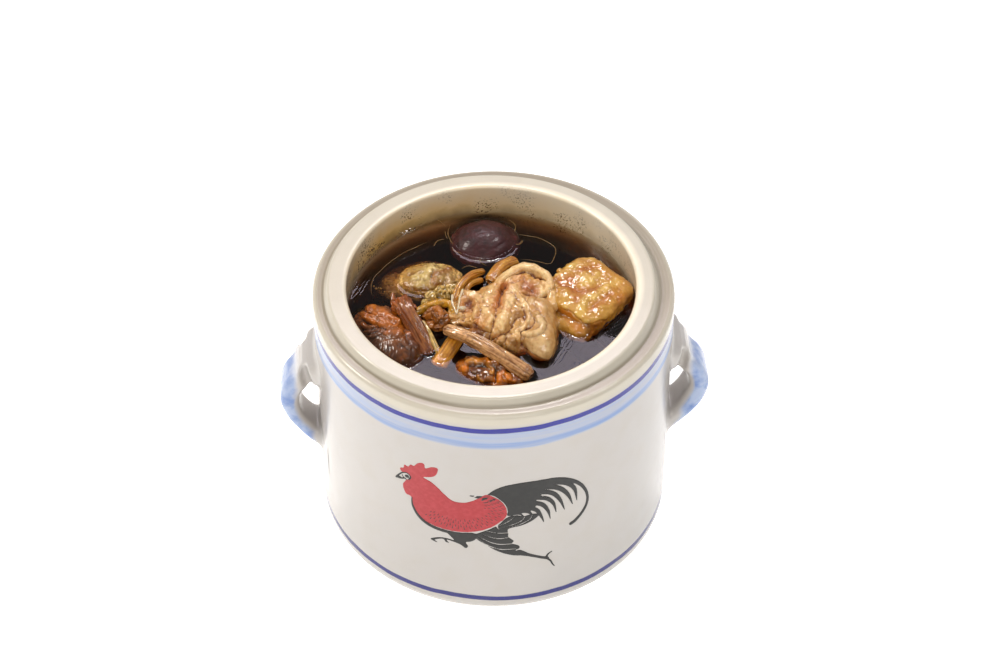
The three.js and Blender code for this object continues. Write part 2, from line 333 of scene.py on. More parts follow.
@dataclass
class Surface:
    """A mesh before it is a Blender object: points in millimetres, faces, and marks for its finish."""

    points: Points
    faces: np.ndarray
    marks: dict[str, np.ndarray] = field(default_factory=dict)

    def normals(self) -> np.ndarray:
        """The unit normal at each point."""
        a, b, c = (self.points[self.faces[:, k]] for k in (0, 1, 2))
        flat = np.cross(b - a, c - a)
        total = np.zeros_like(self.points)
        for k in range(self.faces.shape[1]):
            np.add.at(total, self.faces[:, k], flat)
        return total / (np.linalg.norm(total, axis=1)[:, None] + 1e-12)

    def sinkings(self, rounds: int) -> np.ndarray:
        """How far each point lies below the ones round it, in millimetres."""
        count = len(self.points)
        a, b = self.faces.ravel(), np.roll(self.faces, -1, axis=1).ravel()
        ends, others = np.concatenate([a, b]), np.concatenate([b, a])
        share = np.bincount(ends, minlength=count)
        spots = self.points
        for _ in range(rounds):
            spots = np.stack([np.bincount(ends, spots[others, k], count) / share for k in range(3)], 1)
        return ((spots - self.points) * self.normals()).sum(1)

    def volume(self) -> float:
        """The volume in cubic millimetres, which is more than 0 when the faces look outwards."""
        a, b, c, d = (self.points[self.faces[:, k]] for k in range(4))
        return float((np.cross(a, b) * c).sum() + (np.cross(a, c) * d).sum()) / 6

    def joined(self, other: "Surface") -> "Surface":
        """This surface and another one as one mesh; both have faces of the same number of sides."""
        marks = {name: np.concatenate([self.marks[name], other.marks[name]]) for name in self.marks}
        faces = np.vstack([self.faces, other.faces + len(self.points)])
        return Surface(np.vstack([self.points, other.points]), faces, marks)


def skin_of_grid(values: np.ndarray, low: np.ndarray, cell: np.ndarray) -> Surface:
    """Lays a quad mesh over the zero level of a grid of distances.

    Args:
        values: the distances on a grid of three axes, less than 0 inside.
        low: the grid's lowest corner.
        cell: the grid's step along each axis.

    Returns:
        The closed surface, with its faces turned outwards.
    """
    counts = np.array(values.shape) - 1
    total = np.zeros((*counts, 3))
    hits = np.zeros(tuple(counts), int)
    edges = []
    for axis in range(3):
        first = np.take(values, range(values.shape[axis] - 1), axis)
        second = np.take(values, range(1, values.shape[axis]), axis)
        spots = np.argwhere((first < 0) != (second < 0))
        a, b = first[tuple(spots.T)], second[tuple(spots.T)]
        place = spots.astype(float)
        place[:, axis] += a / (a - b)
        inner = np.ones(len(spots), bool)
        others = [k for k in range(3) if k != axis]
        for k in others:
            inner &= (spots[:, k] > 0) & (spots[:, k] < counts[k])
        spots, place, leaving = spots[inner], place[inner], (a < 0)[inner]
        ring = []
        for back in ((0, 0), (1, 0), (1, 1), (0, 1)):
            at = spots.copy()
            at[:, others[0]] -= back[0]
            at[:, others[1]] -= back[1]
            np.add.at(total, tuple(at.T), place)
            np.add.at(hits, tuple(at.T), 1)
            ring.append(at)
        edges.append((ring, leaving if axis != 1 else ~leaving))
    number = np.full(tuple(counts), -1)
    used = hits > 0
    number[used] = np.arange(used.sum())
    points = total[used] / hits[used][:, None] * cell + low
    faces = []
    for ring, leaving in edges:
        quads = np.stack([number[tuple(at.T)] for at in ring], 1)
        faces.append(np.where(leaving[:, None], quads, quads[:, ::-1]))
    return Surface(points, np.vstack(faces))


def skin_of_field(distance: Field, low: Sequence[float], high: Sequence[float], cell: float) -> Surface:
    """Lays a quad mesh over a field's surface in a box, and works it out in full only near the surface."""
    low = np.array(low, float)
    blocks = np.ceil((np.array(high, float) - low) / (COARSE * cell)).astype(int)

    def sampled(counts: np.ndarray, step: float, wanted: np.ndarray | None = None) -> np.ndarray:
        """The field on a grid of this many points, or only at the wanted ones."""
        places = np.indices(tuple(counts)).reshape(3, -1).T if wanted is None else np.argwhere(wanted)
        return distance(low + places * step)

    rough = sampled(blocks + 1, COARSE * cell).reshape(blocks + 1)
    nearest = np.full(tuple(blocks), 1e9)
    for i, j, k in itertools.product((0, 1), repeat=3):
        corner = rough[i:blocks[0] + i, j:blocks[1] + j, k:blocks[2] + k]
        nearest = np.minimum(nearest, np.abs(corner))
    wanted = nearest < 1.9 * COARSE * cell
    values = rough[:-1, :-1, :-1]
    for axis in range(3):
        wanted = np.repeat(wanted, COARSE, axis)
        values = np.repeat(values, COARSE, axis)
    values = values.copy()
    values[wanted] = sampled(None, cell, wanted)
    return skin_of_grid(values, low, np.full(3, cell))


def grid_faces(rows: int, columns: int, wrap: bool) -> np.ndarray:
    """Quads over a grid of points in row order; wrap closes each row on itself."""
    last = columns if wrap else columns - 1
    i, j = np.meshgrid(np.arange(rows - 1), np.arange(last), indexing="ij")
    i, j = i.ravel(), j.ravel()
    k = (j + 1) % columns
    return np.stack([i * columns + j, i * columns + k, (i + 1) * columns + k, (i + 1) * columns + j], 1)


def make_piece(
    name: str, surface: Surface, finish: bpy.types.Material, slot: str, nodes: Sequence[str] = ()
) -> bpy.types.Object:
    """Makes a Blender object from a surface, and fits it to the frame.

    Args:
        name: the piece's name.
        surface: its mesh, in millimetres.
        finish: its material.
        slot: the record's material slot that it belongs to; not used.
        nodes: the solids that it stands for.

    Returns:
        The object, which rides on the pot's only body.
    """
    mesh = bpy.data.meshes.new(name)
    mesh.from_pydata((surface.points * MM).tolist(), [], surface.faces.tolist())
    mesh.validate()
    mesh.polygons.foreach_set("use_smooth", [True] * len(mesh.polygons))
    for mark, values in surface.marks.items():
        made = mesh.attributes.new(mark, "FLOAT", "POINT")
        made.data.foreach_set("value", np.clip(values, 0, 1).astype(np.float32))
    mesh.materials.append(finish)
    piece = bpy.data.objects.new(name, mesh)
    bpy.context.scene.collection.objects.link(piece)
    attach(piece, BODY)
    if nodes:
        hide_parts(*nodes)
    log.info("%s: %d points, %.0f mm3, stands for %s", name, len(surface.points), surface.volume(), nodes)
    return piece


# ---------------------------------------------------------------- finishes

@dataclass(frozen=True)
class Stoneware:
    """Stoneware thrown on a wheel, dipped in a clear glaze and fired: warm white, with a soft gloss.

    The glaze pools and thins by a few tenths of a millimetre, so its gloss wavers, and cobalt brushed
    under it shows as blue lines with streaks of the brush. Inside, soup has dried on it in a brown ring.
    """

    clay: str = "#bfbbb8"
    rim_clay: str = "#cbc4b5"
    inner_clay: str = "#eee4d0"
    shade: str = "#b8ae9f"
    # Ledge colour: partly glaze pooling, partly painted shade under the rim.
    ledge_pool_and_shade: str = "#8a7e6b"
    cobalt: str = "#010f8c"
    cobalt_deep: str = "#060a70"
    wash: str = "#96abd2"
    wash_deep: str = "#7894c8"
    ear_wash: str = "#a6b6d6"
    ear_wash_deep: str = "#6483c0"
    stain: str = "#dcb46c"
    stain_deep: str = "#4a2c0e"
    line_height: float = 91.5
    line_width: float = 2.2
    wash_top: float = 90.6
    wash_bottom: float = 83.0
    stripe_height: float = 84.6
    foot_line_height: float = 7.9
    brush_hair: float = 1.5
    turning_mark: float = 0.8
    roughness: float = 0.2

    def material(self) -> bpy.types.Material:
        """Builds the pot's material."""
        made, put = new_material("glazed_thrown_stoneware")
        place = put("TexCoord", out="Object")
        x, y, height = put("SeparateXYZ", {0: place}).node.outputs
        radius = put("VectorMath", {0: put("CombineXYZ", {0: x, 1: y})}, "Value", operation="LENGTH")
        colour = self.clay_colour(put, place, height, radius)
        colour = self.brushed(put, place, height, radius, colour)
        colour = self.soup_stain(put, place, x, height, radius, colour)
        gloss = put("TexNoise", {"Vector": place, "Scale": 1 / (6 * MM), "Detail": 3.0})
        low, high = self.roughness - 0.05, self.roughness + 0.1
        shader = put("BsdfPrincipled", {
            "Base Color": colour,
            "Roughness": put("MapRange", {"Value": gloss, "To Min": low, "To Max": high}),
            "IOR": 1.5,
            "Subsurface Weight": 0.06,
            "Subsurface Radius": (1.0, 0.8, 0.6),
            "Subsurface Scale": 1.2 * MM,
            "Coat Weight": 0.2,
            "Coat Roughness": 0.06,
            "Normal": self.relief(put, place, radius, height),
        })
        put("OutputMaterial", {"Surface": shader})
        return made

    def above(self, put: Put, value: bpy.types.NodeSocket, edge: float, soft: float) -> bpy.types.NodeSocket:
        """A mask that goes from 0 to 1 as a length passes an edge, given in millimetres."""
        limits = {"Value": value, "From Min": (edge - soft) * MM, "From Max": (edge + soft) * MM}
        return put("MapRange", limits, **SMOOTH)

    def near(
        self, put: Put, value: bpy.types.NodeSocket, middle: float, half: float, soft: float
    ) -> bpy.types.NodeSocket:
        """A mask that is 1 within half a width of a middle, given in millimetres."""
        gap = put("Math", {0: put("Math", {0: value, 1: middle * MM}, operation="SUBTRACT")}, operation="ABSOLUTE")
        limits = {"Value": gap, "From Min": (half + soft) * MM, "From Max": (half - soft) * MM}
        return put("MapRange", limits, **SMOOTH)

    def both(self, put: Put, first: bpy.types.NodeSocket, second: object) -> bpy.types.NodeSocket:
        """The product of two masks, or of a mask and a share."""
        return put("Math", {0: first, 1: second}, operation="MULTIPLY")

    def over(
        self, put: Put, share: bpy.types.NodeSocket, under: object, paint: str
    ) -> bpy.types.NodeSocket:
        """Paint over a colour, by a mask."""
        return put("Mix", {"Factor": share, "A": under, "B": linear(paint)}, **RGBA)

    def clay_colour(
        self, put: Put, place: bpy.types.NodeSocket, height: bpy.types.NodeSocket, radius: bpy.types.NodeSocket
    ) -> bpy.types.NodeSocket:
        """Warm white clay, creamier on the rim, darker on the ledge from glaze pooling and from painted shade under
        the rim, faintly mottled.
        """
        colour = self.over(put, self.above(put, height, 93.6, 1.2), linear(self.clay), self.rim_clay)
        within = put("MapRange", {"Value": radius, "From Min": 51.6 * MM, "From Max": 50.0 * MM})
        colour = self.over(put, within, colour, self.inner_clay)
        cloud = put("TexNoise", {"Vector": place, "Scale": 1 / (9 * MM), "Detail": 5.0})
        share = put("MapRange", {"Value": cloud, "From Min": 0.45, "From Max": 0.8, "To Max": 0.25})
        colour = self.over(put, share, colour, self.shade)
        # Painted shade: the ledge at the rim's foot is darkened for the shade that the rim casts on it, as well as
        # for glaze pooling there.
        ledge = self.both(put, self.near(put, radius, 58.4, 1.9, 0.9), self.near(put, height, 98.0, 0.9, 0.5))
        return self.over(put, self.both(put, ledge, 0.75), colour, self.ledge_pool_and_shade)

    def brushed(
        self,
        put: Put,
        place: bpy.types.NodeSocket,
        height: bpy.types.NodeSocket,
        radius: bpy.types.NodeSocket,
        colour: bpy.types.NodeSocket,
    ) -> bpy.types.NodeSocket:
        """The brushed blue: a pale wash with a deeper stripe, two lines, and a wash on the ears."""
        outside = self.above(put, radius, BODY_RADIUS - 1.0, 0.35)
        slow = put("TexNoise", {"Vector": place, "Scale": 1 / (26 * MM), "Detail": 3.0})
        wander = put(
            "MapRange",
            {"Value": slow, "From Min": 0.25, "From Max": 0.75, "To Min": -0.5 * MM, "To Max": 0.5 * MM},
        )
        there = put("Math", {0: height, 1: wander})
        drawn = put("VectorMath", {0: place, 1: (0.04, 0.04, 1.0)}, operation="MULTIPLY")
        hairs = put("TexNoise", {"Vector": drawn, "Scale": 1 / (self.brush_hair * MM), "Detail": 3.0})
        strength = put("MapRange", {"Value": hairs, "From Min": 0.3, "From Max": 0.7, "To Min": 0.35, "To Max": 0.9})
        middle, half = (self.wash_top + self.wash_bottom) / 2, (self.wash_top - self.wash_bottom) / 2
        for at, wide, soft, paint, streaked in (
            (middle, half, 0.5, self.wash, True),
            (self.stripe_height, 1.2, 0.5, self.wash_deep, True),
            (self.line_height, self.line_width / 2, 0.2, self.cobalt, False),
            (self.foot_line_height, self.line_width / 2, 0.2, self.cobalt_deep, False),
        ):
            share = self.both(put, self.near(put, there, at, wide, soft), outside)
            colour = self.over(put, self.both(put, share, strength) if streaked else share, colour, paint)
        pool = put("TexNoise", {"Vector": place, "Scale": 1 / (5 * MM), "Detail": 3.0})
        deep = put("MapRange", {"Value": pool, "From Min": 0.4, "From Max": 0.7})
        paint = self.over(put, deep, linear(self.ear_wash), self.ear_wash_deep)
        mark = put("Attribute", out="Fac", attribute_name="wash")
        return put("Mix", {"Factor": mark, "A": colour, "B": paint}, **RGBA)

    def soup_stain(
        self,
        put: Put,
        place: bpy.types.NodeSocket,
        x: bpy.types.NodeSocket,
        height: bpy.types.NodeSocket,
        radius: bpy.types.NodeSocket,
        colour: bpy.types.NodeSocket,
    ) -> bpy.types.NodeSocket:
        """The yellow film, brown ring and specks that the soup left inside, stronger on the left."""
        within = put("MapRange", {"Value": radius, "From Min": 50.6 * MM, "From Max": 49.9 * MM})
        cloud = put("TexNoise", {"Vector": place, "Scale": 1 / (9 * MM), "Detail": 4.0})
        lift = put(
            "MapRange",
            {"Value": cloud, "From Min": 0.3, "From Max": 0.7, "To Min": -1.8 * MM, "To Max": 1.8 * MM},
        )
        there = put("Math", {0: height, 1: lift})
        side = put("MapRange", {"Value": x, "From Min": 42 * MM, "From Max": -42 * MM, "To Min": 0.35, "To Max": 1.0})
        film = put("MapRange", {"Value": there, "From Min": 103.0 * MM, "From Max": 91.5 * MM, "To Max": 1.0})
        film = self.both(put, self.both(put, film, side), within)
        colour = self.over(put, film, colour, self.stain)
        ring = put("MapRange", {"Value": there, "From Min": 92.8 * MM, "From Max": 87.4 * MM, "To Max": 0.8})
        colour = self.over(put, self.both(put, self.both(put, ring, side), within), colour, self.stain_deep)
        grain = put("TexNoise", {"Vector": place, "Scale": 1 / (0.7 * MM), "Detail": 3.0})
        dots = put("MapRange", {"Value": grain, "From Min": 0.56, "From Max": 0.61})
        patches = put("MapRange", {"Value": cloud, "From Min": 0.5, "From Max": 0.62})
        dots = self.both(put, self.both(put, dots, patches), self.both(put, film, 1.8))
        return self.over(put, dots, colour, self.stain_deep)

    def relief(
        self, put: Put, place: bpy.types.NodeSocket, radius: bpy.types.NodeSocket, height: bpy.types.NodeSocket
    ) -> bpy.types.NodeSocket:
        """Fine turning marks on the rim and ledge, and a slow orange-peel wave in the glaze."""
        way = put("Math", {0: radius, 1: 1 / (self.turning_mark * MM)}, operation="MULTIPLY")
        rings = put("TexNoise", {"W": way, "Scale": 1.0, "Detail": 2.0}, noise_dimensions="1D")
        rings = self.both(put, rings, self.above(put, height, 96.5, 0.8))
        peel = put("TexNoise", {"Vector": place, "Scale": 1 / (4 * MM), "Detail": 2.0})
        waves = put("Math", {0: rings, 1: self.both(put, peel, 0.5)})
        return put("Bump", {"Height": waves, "Strength": 0.35, "Distance": 0.12 * MM})


@dataclass(frozen=True)
class Enamel:
    """Overglaze enamel, brushed on the fired glaze and fired again: dense colour with a soft sheen."""

    name: str
    colour: str
    worn: str

    def material(self) -> bpy.types.Material:
        """Builds the enamel, slightly uneven where the brush ran dry."""
        made, put = new_material(self.name)
        cloud = put("TexNoise", {"Vector": put("TexCoord", out="Object"), "Scale": 1 / (1.6 * MM), "Detail": 4.0})
        share = put("MapRange", {"Value": cloud, "From Min": 0.42, "From Max": 0.75})
        colour = put("Mix", {"Factor": share, "A": linear(self.colour), "B": linear(self.worn)}, **RGBA)
        shader = put("BsdfPrincipled", {"Base Color": colour, "Roughness": 0.34, "IOR": 1.5})
        put("OutputMaterial", {"Surface": shader})
        return made


@dataclass(frozen=True)
class WetFood:
    """Boiled food under a film of soup: colour that darkens in the folds, partly dark pigment and partly painted
    shade, and a sharp wet gloss.

    The mesh carries three marks: crease, 1 where it is darkest, which is painted shade deep in folds and
    hollows as well as dark pigment; tone, 1 on paler stuff such as skin or fat, and also painted highlight
    on crests; and warm, 1 where it is golden or orange. Light enters a little way, as in all moist food,
    and the film on top gives the highlights, which its fine grain breaks up.
    """

    name: str
    deep: str
    middle: str
    pale: str
    warm: str
    mottle: str
    mottle_pitch: float = 2.4
    mottle_share: float = 0.65
    grain_pitch: float = 0.6
    grain_height: float = 0.09
    roughness: float = 0.42
    film: float = 1.0
    film_roughness: float = 0.06
    light_depth: float = 1.2
    glow: float = 0.16

    def material(self) -> bpy.types.Material:
        """Builds the wet food's material."""
        made, put = new_material(self.name)
        place = put("TexCoord", out="Object")
        colour: object = linear(self.middle)
        cloud = put("TexNoise", {"Vector": place, "Scale": 1 / (self.mottle_pitch * MM), "Detail": 4.0})
        flecks = put("TexNoise", {"Vector": place, "Scale": 1 / (0.7 * MM), "Detail": 3.0})
        flecks = put("MapRange", {"Value": flecks, "From Min": 0.5, "From Max": 0.8, "To Max": 0.28})
        # The crease mark is painted shade in folds and hollows together with dark pigment; tone includes painted
        # highlight on crests.
        crease = put("Attribute", out="Fac", attribute_name="crease")
        patches = {"Value": cloud, "From Min": 0.45, "From Max": 0.7, "To Max": self.mottle_share}
        for share, paint in (
            (put("Attribute", out="Fac", attribute_name="tone"), self.pale),
            (put("Attribute", out="Fac", attribute_name="warm"), self.warm),
            (put("MapRange", patches), self.mottle),
            (put("Math", {0: crease, 1: flecks}, operation="MAXIMUM"), self.deep),
        ):
            colour = put("Mix", {"Factor": share, "A": colour, "B": linear(paint)}, **RGBA)
        grain = put("TexNoise", {"Vector": place, "Scale": 1 / (self.grain_pitch * MM), "Detail": 3.0})
        bump = put("Bump", {"Height": grain, "Strength": 0.7, "Distance": self.grain_height * MM})
        shader = put("BsdfPrincipled", {
            "Base Color": colour,
            "Roughness": self.roughness,
            "IOR": 1.4,
            "Subsurface Weight": self.glow,
            "Subsurface Radius": (1.0, 0.6, 0.3),
            "Subsurface Scale": self.light_depth * MM,
            "Coat Weight": self.film,
            "Coat Roughness": self.film_roughness,
            "Coat IOR": 1.5,
            "Normal": bump,
        })
        put("OutputMaterial", {"Surface": shader})
        return made


@dataclass(frozen=True)
class Broth:
    """Clear double-boiled broth: water-like gloss, and a brown that deepens fast with depth.

    A few millimetres tint what lies under them orange-brown, and a few centimetres are nearly black.
    Light that goes straight to a lamp passes its surface unbent, so sunken food is lit as the rest is.
    """

    tint: tuple[float, float, float] = (0.79, 0.52, 0.2)
    strength: float = 100.0
    ior: float = 1.34

    def material(self) -> bpy.types.Material:
        """Builds the liquid; its strength is how much light a metre of it takes away."""
        made, put = new_material("clear_brown_broth")
        wet = put("BsdfPrincipled", {
            "Base Color": (1.0, 1.0, 1.0, 1.0), "Roughness": 0.02, "IOR": self.ior, "Transmission Weight": 1.0,
        })
        shadow = put("LightPath", out="Is Shadow Ray")
        surface = put("MixShader", {0: shadow, 1: wet, 2: put("BsdfTransparent")})
        depth = put("VolumeAbsorption", {"Color": (*self.tint, 1.0), "Density": self.strength})
        put("OutputMaterial", {"Surface": surface, "Volume": depth})
        return made


# ---------------------------------------------------------------- the pot

def arc(centre: tuple[float, float], radius: float, start: float, end: float, steps: int) -> list:
    """Points on an arc from one angle to another, in degrees."""
    angles = np.radians(np.linspace(start, end, steps + 1))
    return [(centre[0] + radius * math.cos(a), centre[1] + radius * math.sin(a)) for a in angles]


def line(start: tuple[float, float], end: tuple[float, float], steps: int) -> list:
    """Evenly spread points between two points, without the first."""
    return [tuple(np.array(start) + (np.array(end) - start) * i / steps) for i in range(1, steps + 1)]


@dataclass
class PotBody:
    """The thrown body: foot ring, straight wall, stepped ledge, raised rim and hollow."""

    around: int = 320
    foot_radius: float = 52.0
    foot_recess: float = 1.2
    base_round: float = 6.0
    wall_top: float = 61.7
    wall_bottom: float = 61.5
    ledge_round: float = 1.6
    rim_outer: float = 56.0
    rim_foot: float = 57.2
    rim_round: float = 1.1
    hand_wave: float = 0.12

    def outline(self) -> np.ndarray:
        """The body's whole outline as radius and height, from the base's centre round to the floor's."""
        base = (self.wall_bottom - self.base_round, self.base_round)
        ledge = (self.wall_top - self.ledge_round, LEDGE_HEIGHT - self.ledge_round)
        rim_out = (self.rim_outer - self.rim_round, RIM_HEIGHT - self.rim_round)
        rim_in = (MOUTH_RADIUS + self.rim_round, RIM_HEIGHT - self.rim_round)
        floor = (BELLY_RADIUS - FLOOR_ROUND, FLOOR_HEIGHT + FLOOR_ROUND)
        points = [(0.05, self.foot_recess)]
        points += line(points[-1], (self.foot_radius - 1.4, self.foot_recess), 6)
        points += line(points[-1], (self.foot_radius, 0), 2)
        points += arc(base, self.base_round, -90, 0, 14)
        points += line(points[-1], (self.wall_top, ledge[1]), 60)[:-1]
        points += arc(ledge, self.ledge_round, 0, 90, 8)
        points += line(points[-1], (self.rim_foot + 0.7, LEDGE_HEIGHT), 4)
        points += arc((self.rim_foot + 0.7, LEDGE_HEIGHT + 0.7), 0.7, -90, -160, 5)[1:]
        points += arc(rim_out, self.rim_round, 20, 90, 7)
        points += line(points[-1], (rim_in[0], RIM_HEIGHT), 8)[:-1]
        points += arc(rim_in, self.rim_round, 90, 180, 8)
        points += line(points[-1], (MOUTH_RADIUS + 0.4, NECK_HEIGHT + 6), 10)
        points += line(points[-1], (MOUTH_RADIUS + 1.2, NECK_HEIGHT), 6)
        points += line(points[-1], (BELLY_RADIUS, NECK_HEIGHT - 26), 8)
        points += line(points[-1], (BELLY_RADIUS, floor[1]), 6)[:-1]
        points += arc(floor, FLOOR_ROUND, 0, -90, 12)
        points += line(points[-1], (0.05, FLOOR_HEIGHT), 4)
        return np.array(points)

    def surface(self) -> Surface:
        """The turned mesh, with the rim and hollow set a little off centre as on the real pot."""
        outline = self.outline()
        angles = np.linspace(0, 2 * np.pi, self.around, endpoint=False)
        radius, height = outline[:, 0][:, None], outline[:, 1][:, None]
        points = np.stack(
            [radius * np.cos(angles), radius * np.sin(angles), height + 0 * angles], -1
        ).reshape(-1, 3)
        reach = np.hypot(points[:, 0], points[:, 1])
        inner = ease(60.4, 57.6, reach) * (points[:, 2] > FLOOR_HEIGHT - 1)
        points[:, :2] += inner[:, None] * RIM_OFFSET
        slow = Noise(5).at(points, 34.0) * self.hand_wave * ease(30.0, 45.0, reach) * ease(2.0, 8.0, points[:, 2])
        points[:, :2] *= (1 + slow / 60)[:, None]
        faces = grid_faces(len(outline), self.around, wrap=True)
        rows = len(outline)
        caps = []
        for row, turned in ((0, True), (rows - 1, False)):
            centre = len(points)
            points = np.vstack([points, [[0, 0, outline[row, 1]]]])
            start = row * self.around
            for j in range(0, self.around, 2):
                ring = [start + j, start + (j + 1) % self.around, start + (j + 2) % self.around]
                caps.append([centre, *(ring[::-1] if turned else ring)])
        return Surface(points, np.vstack([faces, caps]), {"wash": np.zeros(len(points))})


@dataclass
class Ear:
    """One ear: a strap pulled by hand, its upper end pressed onto the wall with the side of a thumb."""

    side: int
    route: Sequence[tuple[float, float]]
    half_thick: Sequence[float]
    half_wide: Sequence[float]
    press: Triple = (65.4, 9.8, 66.0)
    press_size: Triple = (2.0, 4.6, 8.0)
    edge_round: float = 3.0
    sunk: float = 0.12
    seed: int = 11

    def strap(self, points: Points) -> np.ndarray:
        """The strap alone, as a distance."""
        middle = smooth_route(self.route, 40)
        flat = points[:, [0, 2]]
        best = np.full(len(points), 1e9)
        along = np.zeros(len(points))
        for i, (a, b) in enumerate(zip(middle, middle[1:])):
            way = b - a
            share = np.clip((flat - a) @ way / (way @ way), 0, 1)
            gap = np.linalg.norm(flat - a - share[:, None] * way, axis=1)
            nearer = gap < best
            best = np.where(nearer, gap, best)
            along = np.where(nearer, (i + share) / (len(middle) - 1), along)
        thick = smooth_route(list(enumerate(self.half_thick)), 60)
        wide = smooth_route(list(enumerate(self.half_wide)), 60)
        half_thick = np.interp(along * (len(self.half_thick) - 1), thick[:, 0], thick[:, 1])
        half_wide = np.interp(along * (len(self.half_wide) - 1), wide[:, 0], wide[:, 1])
        corner = np.minimum(half_thick, self.edge_round)
        across = np.stack([best - half_thick + corner, np.abs(points[:, 1]) - half_wide + corner], 1)
        return np.linalg.norm(np.maximum(across, 0), axis=1) + np.minimum(across.max(1), 0) - corner

    def distance(self, points: Points) -> np.ndarray:
        """The strap with a thumb's press on both sides of its upper end, fused to the wall behind it."""
        made = self.strap(points)
        x, y, z = self.press
        for face in (-1, 1):
            dent = ball((x, face * y, z), self.press_size, (0, 8, 0))
            made = carved(made, dent(points), 1.6)
        wall = np.hypot(points[:, 0], points[:, 1]) - (BODY_RADIUS - self.sunk)
        return fused(made, wall, 2.6)

    def surface(self) -> Surface:
        """The ear's mesh, marked with the wash on its outer face."""
        cell = 0.5

        def near(points: Points) -> np.ndarray:
            core = 57.6 - np.hypot(points[:, 0], points[:, 1])
            return np.maximum(self.distance(points), core)

        made = skin_of_field(near, (56.5, -18, 26), (78, 18, 80), cell)
        made.points += 0.1 * Noise(self.seed).at(made.points, 9.0)[:, None] * made.normals()
        normals = made.normals()
        x, y, z = made.points.T
        ragged = 1.2 * Noise(self.seed + 1).layers(made.points, 6.0, 2)
        outer = x - np.interp(z, [30, 36, 44, 56, 66, 74], [61.5, 64.0, 66.5, 69.2, 68.4, 66.5])
        wash = ease(-1.2, 1.4, outer + ragged) * ease(-0.55, -0.1, normals[:, 0] + 0.2 * np.abs(normals[:, 1]))
        wash *= ease(27.0, 33.0, z) * ease(70.0, 63.0, z + ragged)
        made.marks["wash"] = wash * ease(63.0, 64.6, np.hypot(x, y))
        if self.side < 0:
            made.points[:, :2] *= -1
        return made


@dataclass
class Pot:
    """The whole pot: the thrown body and both ears, in one glaze."""

    body: PotBody = field(default_factory=PotBody)
    right_ear: Ear = field(
        default_factory=lambda: Ear(
            side=1,
            route=[
                (57.5, 70.0), (62.8, 68.6), (66.2, 64.2), (70.2, 59.6), (72.0, 53.2), (70.4, 46.6), (66.8, 40.6),
                (62.4, 36.4), (57.5, 34.6),
            ],
            half_thick=[5.4, 4.6, 3.0, 3.3, 3.5, 3.6, 3.4, 3.2, 4.4],
            half_wide=[12.0, 10.6, 8.4, 7.4, 7.3, 7.3, 7.4, 8.0, 9.0],
            seed=11,
        )
    )
    left_ear: Ear = field(
        default_factory=lambda: Ear(
            side=-1,
            route=[
                (57.5, 70.0), (62.8, 68.0), (66.6, 63.6), (70.2, 58.8), (71.6, 52.6), (70.0, 45.6), (66.4, 39.4),
                (62.4, 35.4), (57.5, 33.6),
            ],
            half_thick=[5.4, 4.6, 3.2, 3.4, 3.2, 2.7, 2.5, 2.8, 4.2],
            half_wide=[12.0, 10.8, 8.6, 7.6, 7.3, 7.2, 7.2, 7.8, 9.0],
            seed=23,
        )
    )
    glaze: Stoneware = field(default_factory=Stoneware)

    def build(self) -> None:
        """Builds the body and the ears as two pieces in the same glaze."""
        finish = self.glaze.material()
        make_piece("pot_body", self.body.surface(), finish, "glazed_stoneware", ["pot"])
        ears = self.right_ear.surface().joined(self.left_ear.surface())
        make_piece("pot_ears", ears, finish, "glazed_stoneware", ["pot"])


# ---------------------------------------------------------------- the painted figure

Flat = np.ndarray


def stroke(
    corners: Sequence[tuple[float, float]], widths: Sequence[float], steps: int = 14
) -> Callable[[Flat], np.ndarray]:
    """A brush stroke on a flat sheet, as a distance.

    Args:
        corners: the points that its middle line passes.
        widths: half its width, evenly spread along it.
        steps: how many stretches it is cut into.

    Returns:
        The function that gives the distance of flat points, less than 0 on the stroke.
    """
    middle = smooth_route(corners, steps)
    sizes = np.interp(np.linspace(0, 1, steps + 1), np.linspace(0, 1, len(widths)), widths)

    def distance(points: Flat) -> np.ndarray:
        best = np.full(len(points), 9.0)
        reach = sizes.max() + 1.0
        near = ((points > middle.min(0) - reach) & (points < middle.max(0) + reach)).all(1)
        spots = points[near]
        close = best[near]
        for a, b, ra, rb in zip(middle, middle[1:], sizes, sizes[1:]):
            way = b - a
            share = np.clip((spots - a) @ way / (way @ way), 0, 1)
            gap = np.linalg.norm(spots - a - share[:, None] * way, axis=1)
            close = np.minimum(close, gap - (ra + (rb - ra) * share))
        best[near] = close
        return best

    return distance


def patch(corners: Sequence[tuple[float, float]], steps: int = 160) -> Callable[[Flat], np.ndarray]:
    """A filled shape with a smooth outline on a flat sheet, as a distance."""
    ring = smooth_route([*corners, corners[0]], steps)

    def distance(points: Flat) -> np.ndarray:
        best = np.full(len(points), 9.0)
        inside = np.zeros(len(points), bool)
        near = ((points > ring.min(0) - 1) & (points < ring.max(0) + 1)).all(1)
        spots = points[near]
        close, within = best[near], inside[near]
        for a, b in zip(ring, ring[1:]):
            way = b - a
            share = np.clip((spots - a) @ way / (way @ way), 0, 1)
            close = np.minimum(close, np.linalg.norm(spots - a - share[:, None] * way, axis=1))
            crosses = (a[1] > spots[:, 1]) != (b[1] > spots[:, 1])
            rise = b[1] - a[1] if b[1] != a[1] else 1e-9
            within ^= crosses & (spots[:, 0] < a[0] + (spots[:, 1] - a[1]) * way[0] / rise)
        best[near] = np.where(within, -close, close)
        return best

    return distance


